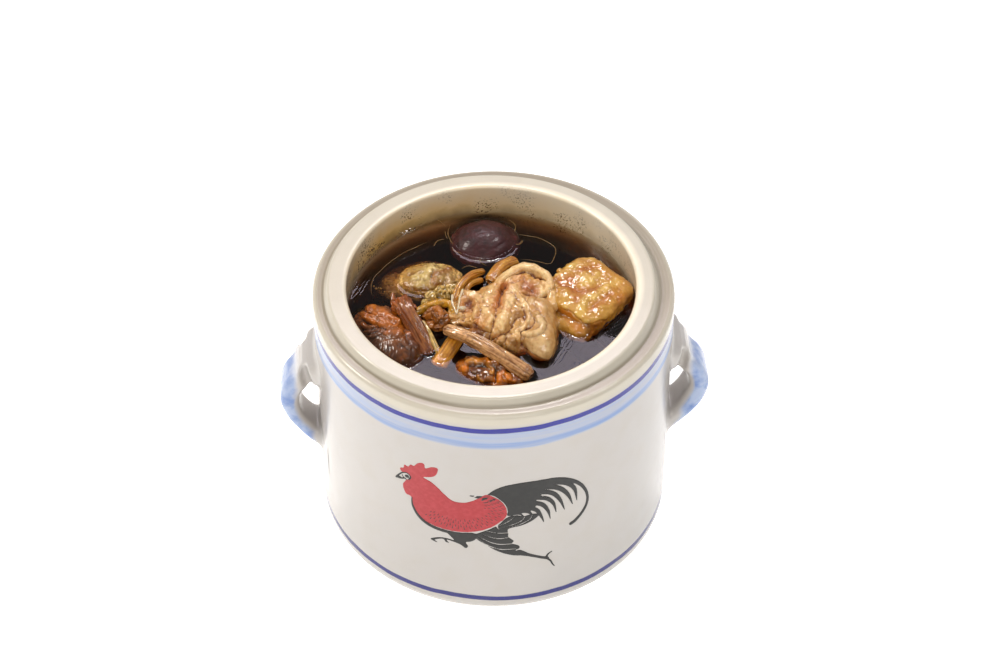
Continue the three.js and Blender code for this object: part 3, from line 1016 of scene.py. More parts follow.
@dataclass
class PaintedRooster:
    """A running rooster in red and black enamel on the front of the wall, as folk pots carry it.

    Its shapes lie on the unrolled wall: the first number is the way round from the pot's front, and
    the second is the height. They are laid onto the wall as thin enamel, black a hair over red.
    """

    cell: float = 0.27
    red_proud: float = 0.05
    black_proud: float = 0.08
    sunk: float = 0.1
    low: tuple[float, float] = (-39.5, 19.5)
    high: tuple[float, float] = (31.5, 73.0)
    red: Enamel = Enamel("iron_red_enamel", "#a81c26", "#b63038")
    black: Enamel = Enamel("painted_black_enamel", "#070707", "#161615")

    def red_shapes(self) -> list:
        """Comb, head, wattle, neck and back as one shape."""
        return [
            patch(
                [
                    (-35.6, 56.0), (-34.6, 53.4), (-32.6, 52.8), (-31.8, 48.2), (-29.4, 44.6), (-26.0, 42.4),
                    (-21.0, 41.3), (-15.0, 41.2), (-10.0, 42.2), (-5.6, 44.0), (-2.2, 46.6), (0.4, 49.6),
                    (0.8, 52.6), (0.0, 55.6), (-1.6, 58.0), (-4.0, 60.2), (-6.0, 60.9), (-7.8, 60.0),
                    (-10.2, 57.9), (-12.8, 56.4), (-15.6, 55.9), (-18.0, 56.5), (-20.2, 58.5), (-22.6, 61.2),
                    (-25.2, 63.4), (-27.9, 64.5), (-25.2, 65.5), (-23.5, 67.0), (-22.4, 69.6), (-22.8, 70.9),
                    (-24.6, 70.7), (-27.0, 69.2), (-27.2, 70.9), (-28.2, 71.4), (-29.9, 70.5), (-31.2, 68.6),
                    (-32.4, 68.8), (-33.4, 67.3), (-34.8, 67.6), (-35.2, 65.9), (-36.5, 65.2), (-36.2, 63.6),
                    (-34.8, 63.4), (-34.2, 60.8), (-34.8, 59.4), (-35.6, 57.8),
                ],
                260,
            )
        ]

    def hackles(self) -> list:
        """Rows of short dark strokes where the red feathers end."""
        edge = smooth_route(
            [
                (-4.6, 60.0), (-0.8, 56.8), (0.2, 52.4), (-2.4, 47.8), (-7.0, 44.6), (-13.0, 42.6),
                (-19.0, 42.4), (-24.6, 43.8), (-27.6, 45.8),
            ],
            40,
        )
        aim = np.array([-16.0, 60.0])
        made = []
        for i, spot in enumerate(edge):
            inward = (aim - spot) / np.linalg.norm(aim - spot)
            for row in range(3 if i < 12 else 2):
                start = spot + inward * (0.3 + 2.7 * row + 1.1 * (i % 2))
                tip = start + inward * (2.0 - 0.35 * row)
                made.append(stroke([tuple(start), tuple(tip)], [0.24, 0.1], 1))
        return made

    def black_shapes(self) -> list:
        """Breast line, tail, thighs, legs, beak and eye."""
        tail = patch(
            [
                (-6.0, 60.7), (-3.4, 63.4), (0.6, 65.3), (7.0, 66.1), (13.0, 65.6), (18.6, 64.0), (17.0, 62.4),
                (13.4, 61.0), (12.6, 58.8), (10.8, 56.6), (10.6, 53.4), (8.0, 51.0), (4.6, 51.0), (2.4, 50.2),
                (0.9, 50.4), (1.0, 52.8), (0.2, 55.8), (-1.6, 58.4), (-4.0, 60.4),
            ]
        )
        thigh = patch(
            [
                (-10.0, 40.9), (-5.6, 43.4), (-2.2, 45.8), (0.6, 49.2), (3.6, 50.2), (6.6, 49.4), (9.8, 49.9),
                (11.8, 48.9), (9.4, 46.5), (6.0, 44.9), (1.4, 43.7), (1.3, 41.2), (1.3, 39.6), (3.1, 37.4),
                (2.6, 36.2), (4.9, 34.8), (5.1, 33.3), (3.6, 32.5), (6.4, 31.4), (7.4, 29.6), (4.0, 29.8),
                (0.4, 31.0), (-3.4, 33.2), (-6.6, 36.0), (-9.4, 38.4),
            ]
        )
        front_thigh = patch(
            [
                (-20.6, 40.6), (-14.0, 41.0), (-9.4, 41.0), (-9.8, 38.4), (-11.4, 37.0), (-13.2, 36.3),
                (-12.5, 34.4), (-13.3, 33.3), (-14.9, 34.6), (-16.8, 36.1), (-18.6, 38.3),
            ]
        )
        feathers = [
            stroke([(15.0, 64.4), (21.4, 61.2), (24.6, 56.8), (25.5, 50.9)], [1.2, 1.0, 0.75, 0.15]),
            stroke([(12.6, 62.6), (18.4, 60.1), (21.9, 55.6), (23.9, 49.8)], [1.2, 1.05, 0.75, 0.15]),
            stroke([(11.6, 60.4), (16.4, 58.2), (19.2, 53.8), (21.0, 48.2)], [1.2, 0.95, 0.65, 0.15]),
            stroke([(10.6, 57.8), (14.4, 56.2), (16.8, 53.0), (17.9, 48.3)], [1.1, 0.9, 0.6, 0.15]),
            stroke([(10.0, 55.2), (12.9, 53.6), (14.9, 50.0), (15.8, 45.7)], [1.1, 0.85, 0.55, 0.15]),
            stroke([(9.2, 52.8), (11.2, 51.0), (12.6, 47.8), (13.5, 44.8)], [1.0, 0.8, 0.5, 0.15]),
            stroke([(6.8, 51.8), (8.4, 50.9), (9.5, 49.2)], [0.8, 0.6, 0.15]),
            stroke([(3.6, 51.2), (5.2, 50.7), (6.4, 49.4)], [0.8, 0.5, 0.15]),
            stroke(
                [
                    (9.0, 65.3), (17.2, 64.5), (23.0, 61.9), (27.0, 57.8), (29.4, 52.4), (29.6, 47.9), (28.0, 44.1),
                    (25.2, 41.0), (23.6, 40.1),
                ],
                [0.7, 1.0, 1.0, 0.8, 0.65, 0.55, 0.55, 0.65, 0.8],
                30,
            ),
        ]
        lines = [
            stroke(
                [(-32.2, 52.9), (-32.2, 49.4), (-30.4, 45.2), (-27.4, 42.3), (-23.0, 40.7), (-17.0, 40.2), (-11.0, 40.8)],
                [0.25, 0.5, 0.7, 0.75, 0.75, 0.6, 0.7],
                24,
            ),
            stroke([(5.0, 31.2), (9.2, 28.9), (12.6, 27.1), (14.9, 25.9)], [1.4, 0.75, 0.6, 0.7]),
            stroke([(14.3, 26.0), (15.3, 27.9), (16.6, 28.8)], [0.5, 0.4, 0.25]),
            stroke([(14.4, 26.3), (16.1, 24.2), (16.9, 22.2), (17.7, 20.8)], [0.5, 0.4, 0.35, 0.15]),
            stroke([(-14.2, 35.0), (-17.0, 36.0), (-20.2, 36.6), (-22.8, 36.1), (-25.2, 34.7)], [0.55, 0.4, 0.35, 0.4, 0.5]),
            stroke([(-25.3, 34.7), (-24.3, 34.2), (-23.4, 33.8)], [0.45, 0.35, 0.15]),
            stroke([(-20.6, 36.2), (-20.0, 35.3), (-19.2, 34.7)], [0.35, 0.45, 0.15]),
            stroke([(-38.3, 59.7), (-37.0, 61.7), (-35.2, 63.6), (-33.4, 63.8), (-32.5, 62.4), (-33.3, 61.0)], [0.35, 0.3, 0.3]),
            stroke([(-38.3, 59.7), (-36.2, 60.2), (-34.8, 61.0)], [0.3, 0.3, 0.25]),
            stroke([(-37.9, 59.9), (-36.6, 60.5)], [0.45, 0.4], 2),
            stroke([(-35.8, 62.2), (-35.4, 61.2), (-34.3, 60.6)], [0.2, 0.2, 0.2]),
            stroke([(-34.1, 62.2), (-33.8, 62.3)], [0.7, 0.7], 1),
        ]
        return [tail, thigh, front_thigh, *feathers, *lines]

    def gaps(self) -> list:
        """Fine bare lines between the feathers of the thigh, where the brush left the glaze."""
        width = [0.06, 0.13, 0.16, 0.1]
        return [
            stroke([(-3.0, 45.0), (0.2, 46.6), (2.6, 48.6), (3.8, 50.4)], width),
            stroke([(-0.6, 44.4), (3.2, 45.8), (6.0, 47.4), (7.0, 49.8)], width),
            stroke([(1.2, 44.2), (5.2, 45.4), (8.4, 47.2), (9.4, 49.2)], width),
            stroke([(-6.2, 42.8), (-3.4, 41.9), (-0.6, 41.6), (1.8, 41.7)], width),
            stroke([(-8.0, 41.4), (-4.6, 39.6), (-1.6, 38.9), (1.8, 39.4)], width),
            stroke([(-9.0, 40.0), (-5.4, 37.4), (-1.6, 36.0), (3.2, 36.0)], width),
            stroke([(-9.6, 39.2), (-5.8, 35.6), (-1.2, 33.4), (3.9, 33.2)], width),
            stroke([(-2.2, 46.9), (-2.6, 45.2), (-1.8, 43.2)], [0.15, 0.2, 0.08]),
            stroke([(12.2, 59.4), (13.2, 57.4), (14.6, 56.6)], [0.1, 0.12, 0.05]),
        ]

    def slab(self, keep: np.ndarray, columns: np.ndarray, rows: np.ndarray, proud: float) -> Surface:
        """Turns a flat distance into thin enamel, and bends it onto the wall."""
        depth = np.array([-3.0, -1.0, 1.0, 3.0]) * 0.5
        floor = np.maximum(depth - 1, -1 - depth)
        made = skin_of_grid(
            np.maximum(keep[:, :, None], floor * self.cell),
            np.array([columns[0], rows[0], depth[0]]),
            np.array([self.cell, self.cell, 1.0]),
        )
        share = np.clip((made.points[:, 2] + 1) / 2, 0, 1)
        way = made.points[:, 0] / BODY_RADIUS
        taper = (BODY_RADIUS - 61.5) * (1 - made.points[:, 1] / 96)
        radius = BODY_RADIUS - taper - self.sunk + share * (self.sunk + proud)
        bent = np.stack([radius * np.sin(way), -radius * np.cos(way), made.points[:, 1]], 1)
        return Surface(bent, made.faces)

    def build(self) -> None:
        """Makes both colours of enamel."""
        cell = self.cell * 1.0
        columns = np.arange(self.low[0], self.high[0], cell)
        rows = np.arange(self.low[1], self.high[1], cell)
        self.cell = cell
        sheet = np.stack(np.meshgrid(columns, rows, indexing="ij"), -1).reshape(-1, 2)
        hand = 0.12 * Noise(201).at(np.column_stack([sheet, 0 * sheet[:, 0]]), 2.2)
        socket = stroke([(-35.0, 61.6), (-34.0, 62.3)], [1.3, 1.6], 2)(sheet)

        def all_of(shapes: list) -> np.ndarray:
            return np.min([shape(sheet) for shape in shapes], axis=0)

        red = np.maximum(all_of(self.red_shapes()), -socket) + hand
        black = np.maximum(all_of(self.black_shapes()), -all_of(self.gaps())) + 0.5 * hand
        black = np.minimum(black, all_of(self.hackles()))
        shape = (len(columns), len(rows))
        for name, flat, proud, enamel in (
            ("rooster_red", red, self.red_proud, self.red),
            ("rooster_black", black, self.black_proud, self.black),
        ):
            made = self.slab(flat.reshape(shape), columns, rows, proud)
            make_piece(name, made, enamel.material(), "glazed_stoneware", ["pot"])


# ---------------------------------------------------------------- the food

class Edge(Enum):
    """How a trace's strength falls off: from its line, or inwards from its outline."""

    ROUND = "a half-round bead along a line"
    SHARP = "a sharp valley along a line"
    SOFT = "a soft stroke along a line"
    STEP = "a rounded step in from an outline"
    POOL = "a soft patch inside an outline"


@dataclass(frozen=True)
class Trace:
    """A fold or a stain drawn on the view and pressed straight back onto a surface.

    mark is lift for relief, or the name of a mark for the finish; the route's points are millimetres
    to the right of and above the middle of the view.
    """

    mark: str
    amount: float
    width: float
    route: tuple[tuple[float, float], ...]
    edge: Edge

    def strength(self, flat: np.ndarray) -> np.ndarray:
        """The trace's amount at each place on the view."""
        closed = self.edge in (Edge.STEP, Edge.POOL)
        corners = self.route + self.route[:1] if closed else self.route
        outline = smooth_route(corners, 3 * len(corners))
        made = np.zeros(len(flat))
        reach = 3.2 * self.width
        near = ((flat > outline.min(0) - reach) & (flat < outline.max(0) + reach)).all(1)
        spots = flat[near]
        gap = np.full(len(spots), 1e9)
        inside = np.zeros(len(spots), bool)
        for a, b in zip(outline, outline[1:]):
            way = b - a
            share = np.clip((spots - a) @ way / (way @ way), 0, 1)
            gap = np.minimum(gap, np.hypot(*(spots - a - share[:, None] * way).T))
            if closed and a[1] != b[1]:
                crossed = (spots[:, 1] < a[1]) != (spots[:, 1] < b[1])
                inside ^= crossed & (spots[:, 0] < a[0] + (spots[:, 1] - a[1]) * way[0] / way[1])
        share = gap / self.width
        deep = np.clip(np.where(inside, share, 0), 0, 1)
        made[near] = {
            Edge.ROUND: np.sqrt(np.maximum(1 - share**2, 0)),
            Edge.SHARP: np.exp(-1.4 * share),
            Edge.SOFT: np.exp(-(share**2)),
            Edge.STEP: np.sqrt(deep * (2 - deep)),
            Edge.POOL: np.where(inside, 0.5 + 0.5 * ease(0, 1, share), 0.5 - 0.5 * ease(0, 1, share)),
        }[self.edge]
        return self.amount * made


def roll(height: float, width: float, *route: tuple[float, float]) -> Trace:
    """A rounded fold that stands up along a line."""
    return Trace("lift", height, width, route, Edge.ROUND)


def cut(depth: float, width: float, *route: tuple[float, float]) -> Trace:
    """A sharp crease along a line."""
    return Trace("lift", -depth, width, route, Edge.SHARP)


def plate(height: float, width: float, *route: tuple[float, float]) -> Trace:
    """A patch that stands up with a rounded edge."""
    return Trace("lift", height, width, route, Edge.STEP)


def hollow(depth: float, width: float, *route: tuple[float, float]) -> Trace:
    """A soft-edged hollow."""
    return Trace("lift", -depth, width, route, Edge.POOL)


def stain(mark: str, amount: float, width: float, *route: tuple[float, float]) -> Trace:
    """A stroke of colour along a line."""
    return Trace(mark, amount, width, route, Edge.SOFT)


def pool(mark: str, amount: float, width: float, *route: tuple[float, float]) -> Trace:
    """A patch of colour."""
    return Trace(mark, amount, width, route, Edge.POOL)


@dataclass
class Food:
    """One piece of food: a plain form, the folds traced onto it, a fine grain and its colours."""

    name: str
    node: str
    slot: str
    finish: WetFood
    low: Triple
    high: Triple
    cell: float = 0.3
    folding: float = 1.0
    traces: Sequence[Trace] = ()

    def form(self, points: Points) -> np.ndarray:
        """The distance to the plain form, without folds."""
        raise NotImplementedError

    def grain(self, points: Points) -> np.ndarray:
        """The uneven relief between the folds, in millimetres."""
        return np.zeros(len(points))

    def traced(self, mark: str, points: Points) -> np.ndarray:
        """The sum of every trace of one mark."""
        drift = np.stack([Noise(80).layers(points, 2.6, 2), Noise(81).layers(points, 2.6, 2)], 1)
        flat = VIEW.flat(points) + 0.35 * drift
        total = sum((one.strength(flat) for one in self.traces if one.mark == mark), np.zeros(len(points)))
        return total * (1 + 0.45 * Noise(82).at(points, 3.4))

    def dark(self, points: Points) -> np.ndarray:
        """How dark each point is, besides its folds."""
        return np.zeros(len(points))

    def tone(self, points: Points) -> np.ndarray:
        """How pale each point is, before what is traced."""
        return 0.12 + 0.35 * Noise(71).layers(points, 4.0, 3)

    def warm(self, points: Points) -> np.ndarray:
        """How golden or orange each point is, before what is traced."""
        return np.zeros(len(points))

    def build(self) -> bpy.types.Object:
        """Meshes the form with its relief, marks it and makes the piece."""
        cell = self.cell * 1.0

        made = skin_of_field(self.form, self.low, self.high, cell)
        relief = self.grain(made.points) + self.folding * self.traced("lift", made.points)
        made.points = made.points + made.normals() * np.clip(relief, -2.6, 2.6)[:, None]
        # Painted shade and painted highlight: points sunk below their neighbours are darkened, most in broad hollows,
        # and crests are made paler.
        fine, broad = made.sinkings(5), made.sinkings(40)
        dark = 0.35 * ease(0.02, 0.16, fine) + 0.7 * ease(0.1, 0.8, broad)
        pale = 0.2 * ease(0.01, 0.14, -fine) + 0.15 * ease(0.05, 0.6, -broad)
        made.marks = {
            "crease": dark + self.dark(made.points) + self.traced("crease", made.points),
            "tone": self.tone(made.points) + self.traced("tone", made.points) + pale,
            "warm": self.warm(made.points) + self.traced("warm", made.points),
        }
        return make_piece(self.name, made, self.finish.material(), self.slot, [self.node])


BOILED_MEAT = WetFood(
    "boiled_pulled_chicken", deep="#723a14", middle="#c9944d", pale="#eecc93", warm="#bc6c2b", mottle="#b37c3c",
    mottle_pitch=1.6, light_depth=1.4,
)
GOLDEN_SKIN = WetFood(
    "stewed_golden_chicken_skin", deep="#703e12", middle="#bc8428", pale="#dbb35c", warm="#ae6411", mottle="#ab6d1b",
    mottle_pitch=3.0, light_depth=1.6,
)
SUNKEN_MEAT = WetFood(
    "soaked_pale_chicken", deep="#2e1a06", middle="#a57a36", pale="#d5ba76", warm="#955b1a", mottle="#805720",
    mottle_pitch=2.2, light_depth=1.4,
)
DATE_SKIN = WetFood(
    "soaked_red_date_skin", deep="#140405", middle="#340b10", pale="#4c1a1c", warm="#380d0d", mottle="#1a0607",
    mottle_pitch=3.0, grain_pitch=0.9, grain_height=0.16, roughness=0.5, film=0.2, film_roughness=0.12, glow=0.08,
)
DARK_MUSHROOM = WetFood(
    "stewed_dark_mushroom", deep="#250e04", middle="#522007", pale="#a8621a", warm="#af5e0a", mottle="#2b0e04",
    mottle_pitch=2.6, grain_pitch=0.7, roughness=0.45, film=0.7, film_roughness=0.05, glow=0.15,
)
AMBER_MUSHROOM = WetFood(
    "stewed_amber_mushroom", deep="#261203", middle="#743703", pale="#c7801a", warm="#df7d02", mottle="#4d2602",
    mottle_pitch=2.2, roughness=0.28, film_roughness=0.05, glow=0.3,
)
OLIVE_MUSHROOM = WetFood(
    "stewed_olive_mushroom", deep="#241a06", middle="#9c7827", pale="#ecc77a", warm="#cf9215", mottle="#5f4c20",
    mottle_pitch=1.6, roughness=0.35, glow=0.25,
)
BROWN_STALK = WetFood(
    "stewed_brown_stalk", deep="#3a1a08", middle="#9e6232", pale="#deb078", warm="#c87c30", mottle="#7a4620",
    mottle_pitch=1.4, grain_pitch=0.4, roughness=0.42, glow=0.15,
)
DARK_STALK = WetFood(
    "stewed_dark_stalk", deep="#3a1a08", middle="#7d3e0e", pale="#b1722c", warm="#9f4f0d", mottle="#602b07",
    mottle_pitch=1.4, grain_pitch=0.4, roughness=0.42, glow=0.15,
)
ORANGE_STALK = WetFood(
    "stewed_orange_stalk", deep="#5c2c06", middle="#b36d14", pale="#ce9f40", warm="#cc8613", mottle="#935511",
    mottle_pitch=1.4, grain_pitch=0.4, roughness=0.38, glow=0.3,
)
CLEAR_JELLY = WetFood(
    "set_chicken_jelly", deep="#8f7f68", middle="#c8b898", pale="#e8dcc8", warm="#d9b070", mottle="#b59a70",
    mottle_pitch=1.5, roughness=0.18, film_roughness=0.03, glow=0.5,
)


OIL_FILM = WetFood(
    "rendered_chicken_oil", deep="#1a1620", middle="#7c5a2c", pale="#a88450", warm="#84602a", mottle="#5c4018",
    mottle_pitch=1.5, roughness=0.55, film=0.15, glow=0.3,
)


@dataclass
class CentreChicken(Food):
    """Pulled meat with a rolled rim behind it and a loose sheet of skin down its right side."""

    name: str = "chicken_pulled_meat"
    node: str = "chicken_centre"
    slot: str = "boiled_chicken"
    finish: WetFood = BOILED_MEAT
    low: Triple = (-22, -33, 74)
    high: Triple = (25, 14, 104)
    folding: float = 0.55
    traces: Sequence[Trace] = (
        plate(
            1.7, 1.3,
            (4.3, 16.4), (6.3, 18.1), (8.4, 20.3), (9.8, 20.6), (11.5, 19.4), (13.8, 18.4), (16.4, 17.3),
            (17.3, 15.3), (16.7, 13.2), (15, 12.2), (13, 11.8), (11.2, 13), (8.1, 13.5), (5.2, 14.4),
        ),
        hollow(
            2.4, 1.6,
            (7.8, 18.7), (9.5, 19), (11.2, 17.6), (12.7, 16.1), (13, 13.8), (11.2, 13.2), (8.9, 14.1),
            (7.2, 15.3), (6.6, 16.4),
        ),
        plate(
            1.7, 2.2,
            (3.2, 17.3), (5.2, 15.6), (5.3, 13.2), (4.6, 10.4), (3.7, 8.1), (3.7, 5.2), (3.2, 2.9), (0.6, 0),
            (-2, -1.2), (-2.9, 0), (-2.3, 2.9), (-0.9, 6), (0.9, 8.6), (1.4, 12.1), (0.9, 15),
        ),
        plate(0.9, 1, (4.6, 10.4), (6.3, 9.8), (8.8, 6.2), (6.9, 4.9), (5.2, 4.6), (3.7, 2.9), (3.5, 6.3)),
        plate(
            1.5, 1.2,
            (-7.2, 8.6), (-4.6, 9.2), (-2, 8.6), (-1.6, 6.3), (-2.3, 2.9), (-3.5, 0), (-5.8, 1.4), (-8.1, 2.9),
            (-9.6, 3.5), (-8.1, 4.8), (-6.6, 6),
        ),
        plate(
            1.3, 1.2,
            (-5.2, 14.7), (-2.9, 15.8), (-0.9, 15.8), (0, 13.8), (-0.9, 10.9), (-2.9, 9.8), (-5.2, 10.1),
            (-6.3, 11.5),
        ),
        roll(1.4, 1.1, (-13.4, 12.2), (-12.1, 13.1), (-10.1, 13.2), (-8.1, 12.8), (-6.8, 11.5)),
        roll(1.5, 0.9, (-9.2, 10.9), (-8.1, 9.2), (-8.4, 6.9), (-9.8, 4.9), (-11.5, 4.5)),
        roll(1.3, 0.8, (-14.3, 3.2), (-12.4, 3.2), (-10.1, 3.7)),
        roll(1.1, 0.8, (-17.9, 5.8), (-15.6, 5.6), (-13.2, 6.3)),
        hollow(3, 1.3, (-12, 10.5), (-10.4, 11.4), (-9.1, 10.1), (-9.4, 8.4), (-11.1, 8.2)),
        cut(1.6, 0.8, (-13.8, 8.9), (-12.5, 7.9)),
        plate(
            1.3, 1.2,
            (2.3, -1.4), (4.3, -0.6), (6.9, 0), (7.8, -2.9), (6.9, -5.2), (4.6, -6.3), (2.9, -5.5),
            (1.9, -3.2),
        ),
        roll(1.6, 1.1, (0.9, -1.7), (0, -2.9), (-1, -4.3)),
        plate(
            1.3, 1.3,
            (5.3, 14.4), (8.1, 13.5), (11.5, 12.7), (15.3, 11.8), (17.9, 15), (19.6, 14.4), (20.3, 11.5),
            (20, 3.5), (19.4, 0), (18.7, -6.6), (16.1, -9.8), (13.2, -8.4), (9.2, -5.8), (7.6, -4.3),
            (6.8, -1.7), (6.3, 0), (8.1, 2), (9.4, 5.2), (8.1, 9.5), (6.3, 12.1),
        ),
        roll(
            1.1, 0.8,
            (5.5, 14.1), (6.9, 11.8), (8.4, 9.8), (9.4, 7.5), (9.8, 4.6), (8.4, 2.3), (6.5, 0.9), (5.9, -0.9),
            (6.3, -2.9),
        ),
        roll(0.9, 1, (11.5, 11.8), (10.7, 9.8), (11.5, 7.5), (12.7, 6.3)),
        roll(1.5, 1.1, (8.4, -0.1), (11.2, -0.5), (13.8, 0.4), (14.8, 2.3), (14.1, 4), (12.4, 5.5)),
        roll(0.8, 1.1, (11.8, 9.8), (14.4, 8.6), (15.3, 6)),
        cut(2, 0.45, (11.8, 5.2), (12.1, 3.7), (10.7, 2), (8.4, 1), (7.1, 0), (7.1, -2.3), (7.8, -4.3)),
        cut(1.6, 0.6, (7.8, -4.6), (9.2, -5.8), (11.5, -7.2), (13.8, -8.4), (15.3, -9.4)),
        cut(2.4, 0.6, (11.2, 20), (13, 19), (15.3, 18.1)),
        roll(
            1.6, 1.5,
            (0.6, 17), (3.2, 19.6), (5.8, 22.1), (8.9, 23.1), (12.4, 22.8), (15.3, 21.6), (17.3, 19.3),
            (18, 17),
        ),
        roll(1.1, 0.9, (-0.9, 15.6), (1.7, 17.1), (4, 18.6), (6, 19.4), (7.8, 19.6)),
        cut(1.2, 0.5, (1.2, 17.3), (3.7, 19.4), (6.3, 20.5), (8.4, 20.9)),
        cut(2.4, 0.8, (1.4, 15.8), (0, 13.5), (-0.4, 10.9), (-1.7, 8.6), (-2, 6.3)),
        cut(1.8, 0.6, (-2.2, 5.2), (-2.6, 2.9), (-3.5, 0), (-3.7, -2)),
        cut(1.8, 0.7, (8.1, 5.8), (6, 5.2), (4.9, 3.7), (4, 1.4), (2.3, 0), (0, -1), (-2.3, -2.3)),
        cut(1.4, 0.6, (-9.2, 2.9), (-7.8, 1.4), (-5.8, 0.6), (-4.3, 0)),
        cut(1.6, 0.7, (-14.1, 2.6), (-12.1, 2), (-9.5, 2.2)),
        cut(1.1, 0.5, (-6.9, 8.4), (-6.6, 6.9), (-7.3, 5.5)),
        pool(
            "warm", 1, 1.2,
            (8.1, 19.3), (10.9, 17.9), (12.7, 16.1), (13, 13.5), (10.7, 13.1), (8.1, 14.7), (6.8, 16.4),
        ),
        stain("warm", 0.95, 1.6, (1.4, 15.8), (0, 13.5), (-0.4, 10.9), (-1.9, 8.6)),
        stain("warm", 0.6, 1.2, (5.2, 18.7), (1.7, 16.7)),
        pool(
            "warm", 1, 0.7,
            (4.6, -9.2), (6.9, -5.5), (9.2, -5.9), (11.5, -7.3), (15, -9.4), (16.4, -9.8), (17.9, -9.1),
            (16.7, -11.5), (11.8, -12.7), (8.1, -11.8),
        ),
        stain("warm", 0.6, 1.3, (-12.1, 12.4), (-13, 9.8), (-12.1, 7.5)),
        stain("warm", 0.5, 1, (-8.1, 4), (-6.3, 2.3)),
        stain(
            "tone", 1, 1.2,
            (5.5, 14.1), (6.9, 11.8), (8.4, 9.8), (9.4, 7.5), (9.8, 4.6), (8.4, 2.3), (6.5, 0.9),
        ),
        stain("tone", 1, 1.2, (8.4, -0.1), (11.2, -0.5), (13.8, 0.4), (14.8, 2.3), (14.1, 4)),
        pool("tone", 0.8, 1, (13.2, 17.6), (16.7, 17.3), (17, 14.4), (15, 12.4), (13.2, 12.7)),
        stain("tone", 1.2, 2.0, (3.2, 19.8), (5.8, 22.3), (8.9, 23.4), (12.4, 23.1), (15.3, 21.9), (17.3, 19.7)),
        stain("tone", 0.8, 1.1, (-13.4, 12.2), (-10.1, 13.2), (-6.8, 11.5)),
        pool("tone", 0.6, 1.5, (7.5, 0), (15.3, -0.6), (18.1, -5.2), (16.4, -8.9), (13.2, -8.1), (9.2, -5.5)),
        stain("tone", 0.7, 1.6, (3.2, 16.4), (3.7, 13), (1.4, 7.5), (-0.3, 4)),
        stain("tone", 0.6, 1.4, (-4.6, 8.1), (-3.5, 5.8)),
        stain("tone", 0.7, 1.4, (-3.5, 15), (-4.6, 12.4)),
        # Painted shade: these crease pools and strokes darken the hollows under the rim and at the left, and the
        # meat's lower left, where shade falls.
        pool(
            "crease", 0.75, 1.4,
            (-15, 2.4), (-11.2, 1.9), (-8.6, 2.3), (-4.6, -0.6), (-2.3, -2.9), (-2.3, -4.6), (-6.9, -2.6),
            (-12.1, 0),
        ),
        pool(
            "crease", 0.4, 1.2,
            (8.1, 19.3), (10.9, 17.9), (12.7, 16.1), (13, 13.5), (10.7, 13.1), (8.1, 14.7), (6.8, 16.4),
        ),
        pool("crease", 0.9, 0.6, (-12, 10.5), (-10.4, 11.4), (-9.1, 10.1), (-9.4, 8.4), (-11.1, 8.2)),
        pool("crease", 0.45, 1, (5.2, 9.8), (8.6, 6.2), (6.9, 4.9), (4.9, 3.7), (3.7, 1.4), (1.7, 0), (4, 5.2)),
        stain("crease", 0.5, 1.2, (2.3, -1.7), (4.6, -3.2), (5.8, -5.5)),
    )

    def meat(self, points: Points) -> np.ndarray:
        """The meat alone."""
        made = ball((3.4, -9.0, 87.4), (14.0, 13.0, 10.6), (0, 4, -24))(points)
        for at, size, turn in (
            ((10.0, 0.6, 90.6), (8.6, 7.4, 7.2), (-14, 0, -10)),
            ((-9.2, -4.6, 89.0), (7.4, 6.6, 4.4), (0, -6, 20)),
            ((-2.0, 0.4, 90.0), (6.2, 5.2, 4.6), (0, 0, 20)),
            ((-4.6, -14.0, 87.6), (8.0, 5.6, 4.2), (0, 0, -30)),
            ((12.0, 6.2, 93.2), (8.6, 5.6, 4.2), (-10, 0, -12)),
            ((-8.8, 2.4, 89.8), (4.4, 3.4, 3.2), (0, 0, 20)),
            ((0.6, 2.6, 90.8), (5.6, 5.4, 4.4), (0, 0, 20)),
            ((-8.0, -4.2, 87.2), (8.6, 8.0, 4.6), (0, 0, 20)),
        ):
            made = fused(made, ball(at, size, turn)(points), 2.4)
        return made

    def rim(self, points: Points) -> np.ndarray:
        """The rolled rim of skin behind the meat."""
        route = [(-0.6, 1.6, 93.6), (3.6, 6.8, 95.6), (9.6, 9.0, 97.4), (16.0, 6.8, 97.4), (19.4, 1.0, 95.6), (19.6, -5, 93)]
        return rod(route, lambda t: 1.6)(points)

    def skin(self, points: Points) -> np.ndarray:
        """The loose sheet of skin, with a fatter lower lobe."""
        side = ball((13.8, -9.6, 88.2), (6.8, 14.6, 9.2), (0, 8, 6))(points)
        lobe = ball((14.6, -18.2, 89.4), (5.4, 8.4, 6.6), (0, 6, 12))(points)
        return fused(side, lobe, 2.0)

    def form(self, points: Points) -> np.ndarray:
        """Meat, skin and rim together."""
        return fused(fused(self.meat(points), self.skin(points), 1.6), self.rim(points), 1.2)

    def _skinny(self, points: Points) -> np.ndarray:
        """1 on the sheet of skin and the rim, and 0 on the meat."""
        sheet = ease(-0.7, 0.8, self.meat(points) - self.skin(points))
        return np.maximum(sheet, ease(1.2, 0.0, self.rim(points)))

    def grain(self, points: Points) -> np.ndarray:
        """Lumpy torn fibres on the meat, and soft wrinkles on the skin."""
        own = points @ turning((0, 0, -62)) * (0.4, 1.0, 0.7)
        meat = 0.24 * Noise(4).ridges(own, 1.7) + 0.08 * Noise(5).ridges(own, 0.8)
        meat += 0.5 * Noise(6).layers(points, 3.4, 3) - 0.25
        skin = 0.45 * Noise(10).layers(points, 4.8, 2) + 0.05 * Noise(11).ridges(points, 1.6) - 0.1
        share = self._skinny(points)
        return meat * (1 - share) + skin * share

    def tone(self, points: Points) -> np.ndarray:
        """Skin is a little paler, and some of the fibres are."""
        return 0.08 + 0.4 * Noise(13).layers(points, 3.0, 3) + 0.12 * self._skinny(points)

    def warm(self, points: Points) -> np.ndarray:
        """Patches of the meat are more orange."""
        return 0.5 * ease(0.0, 0.8, Noise(14).layers(points, 4.5, 3)) * (1 - self._skinny(points))

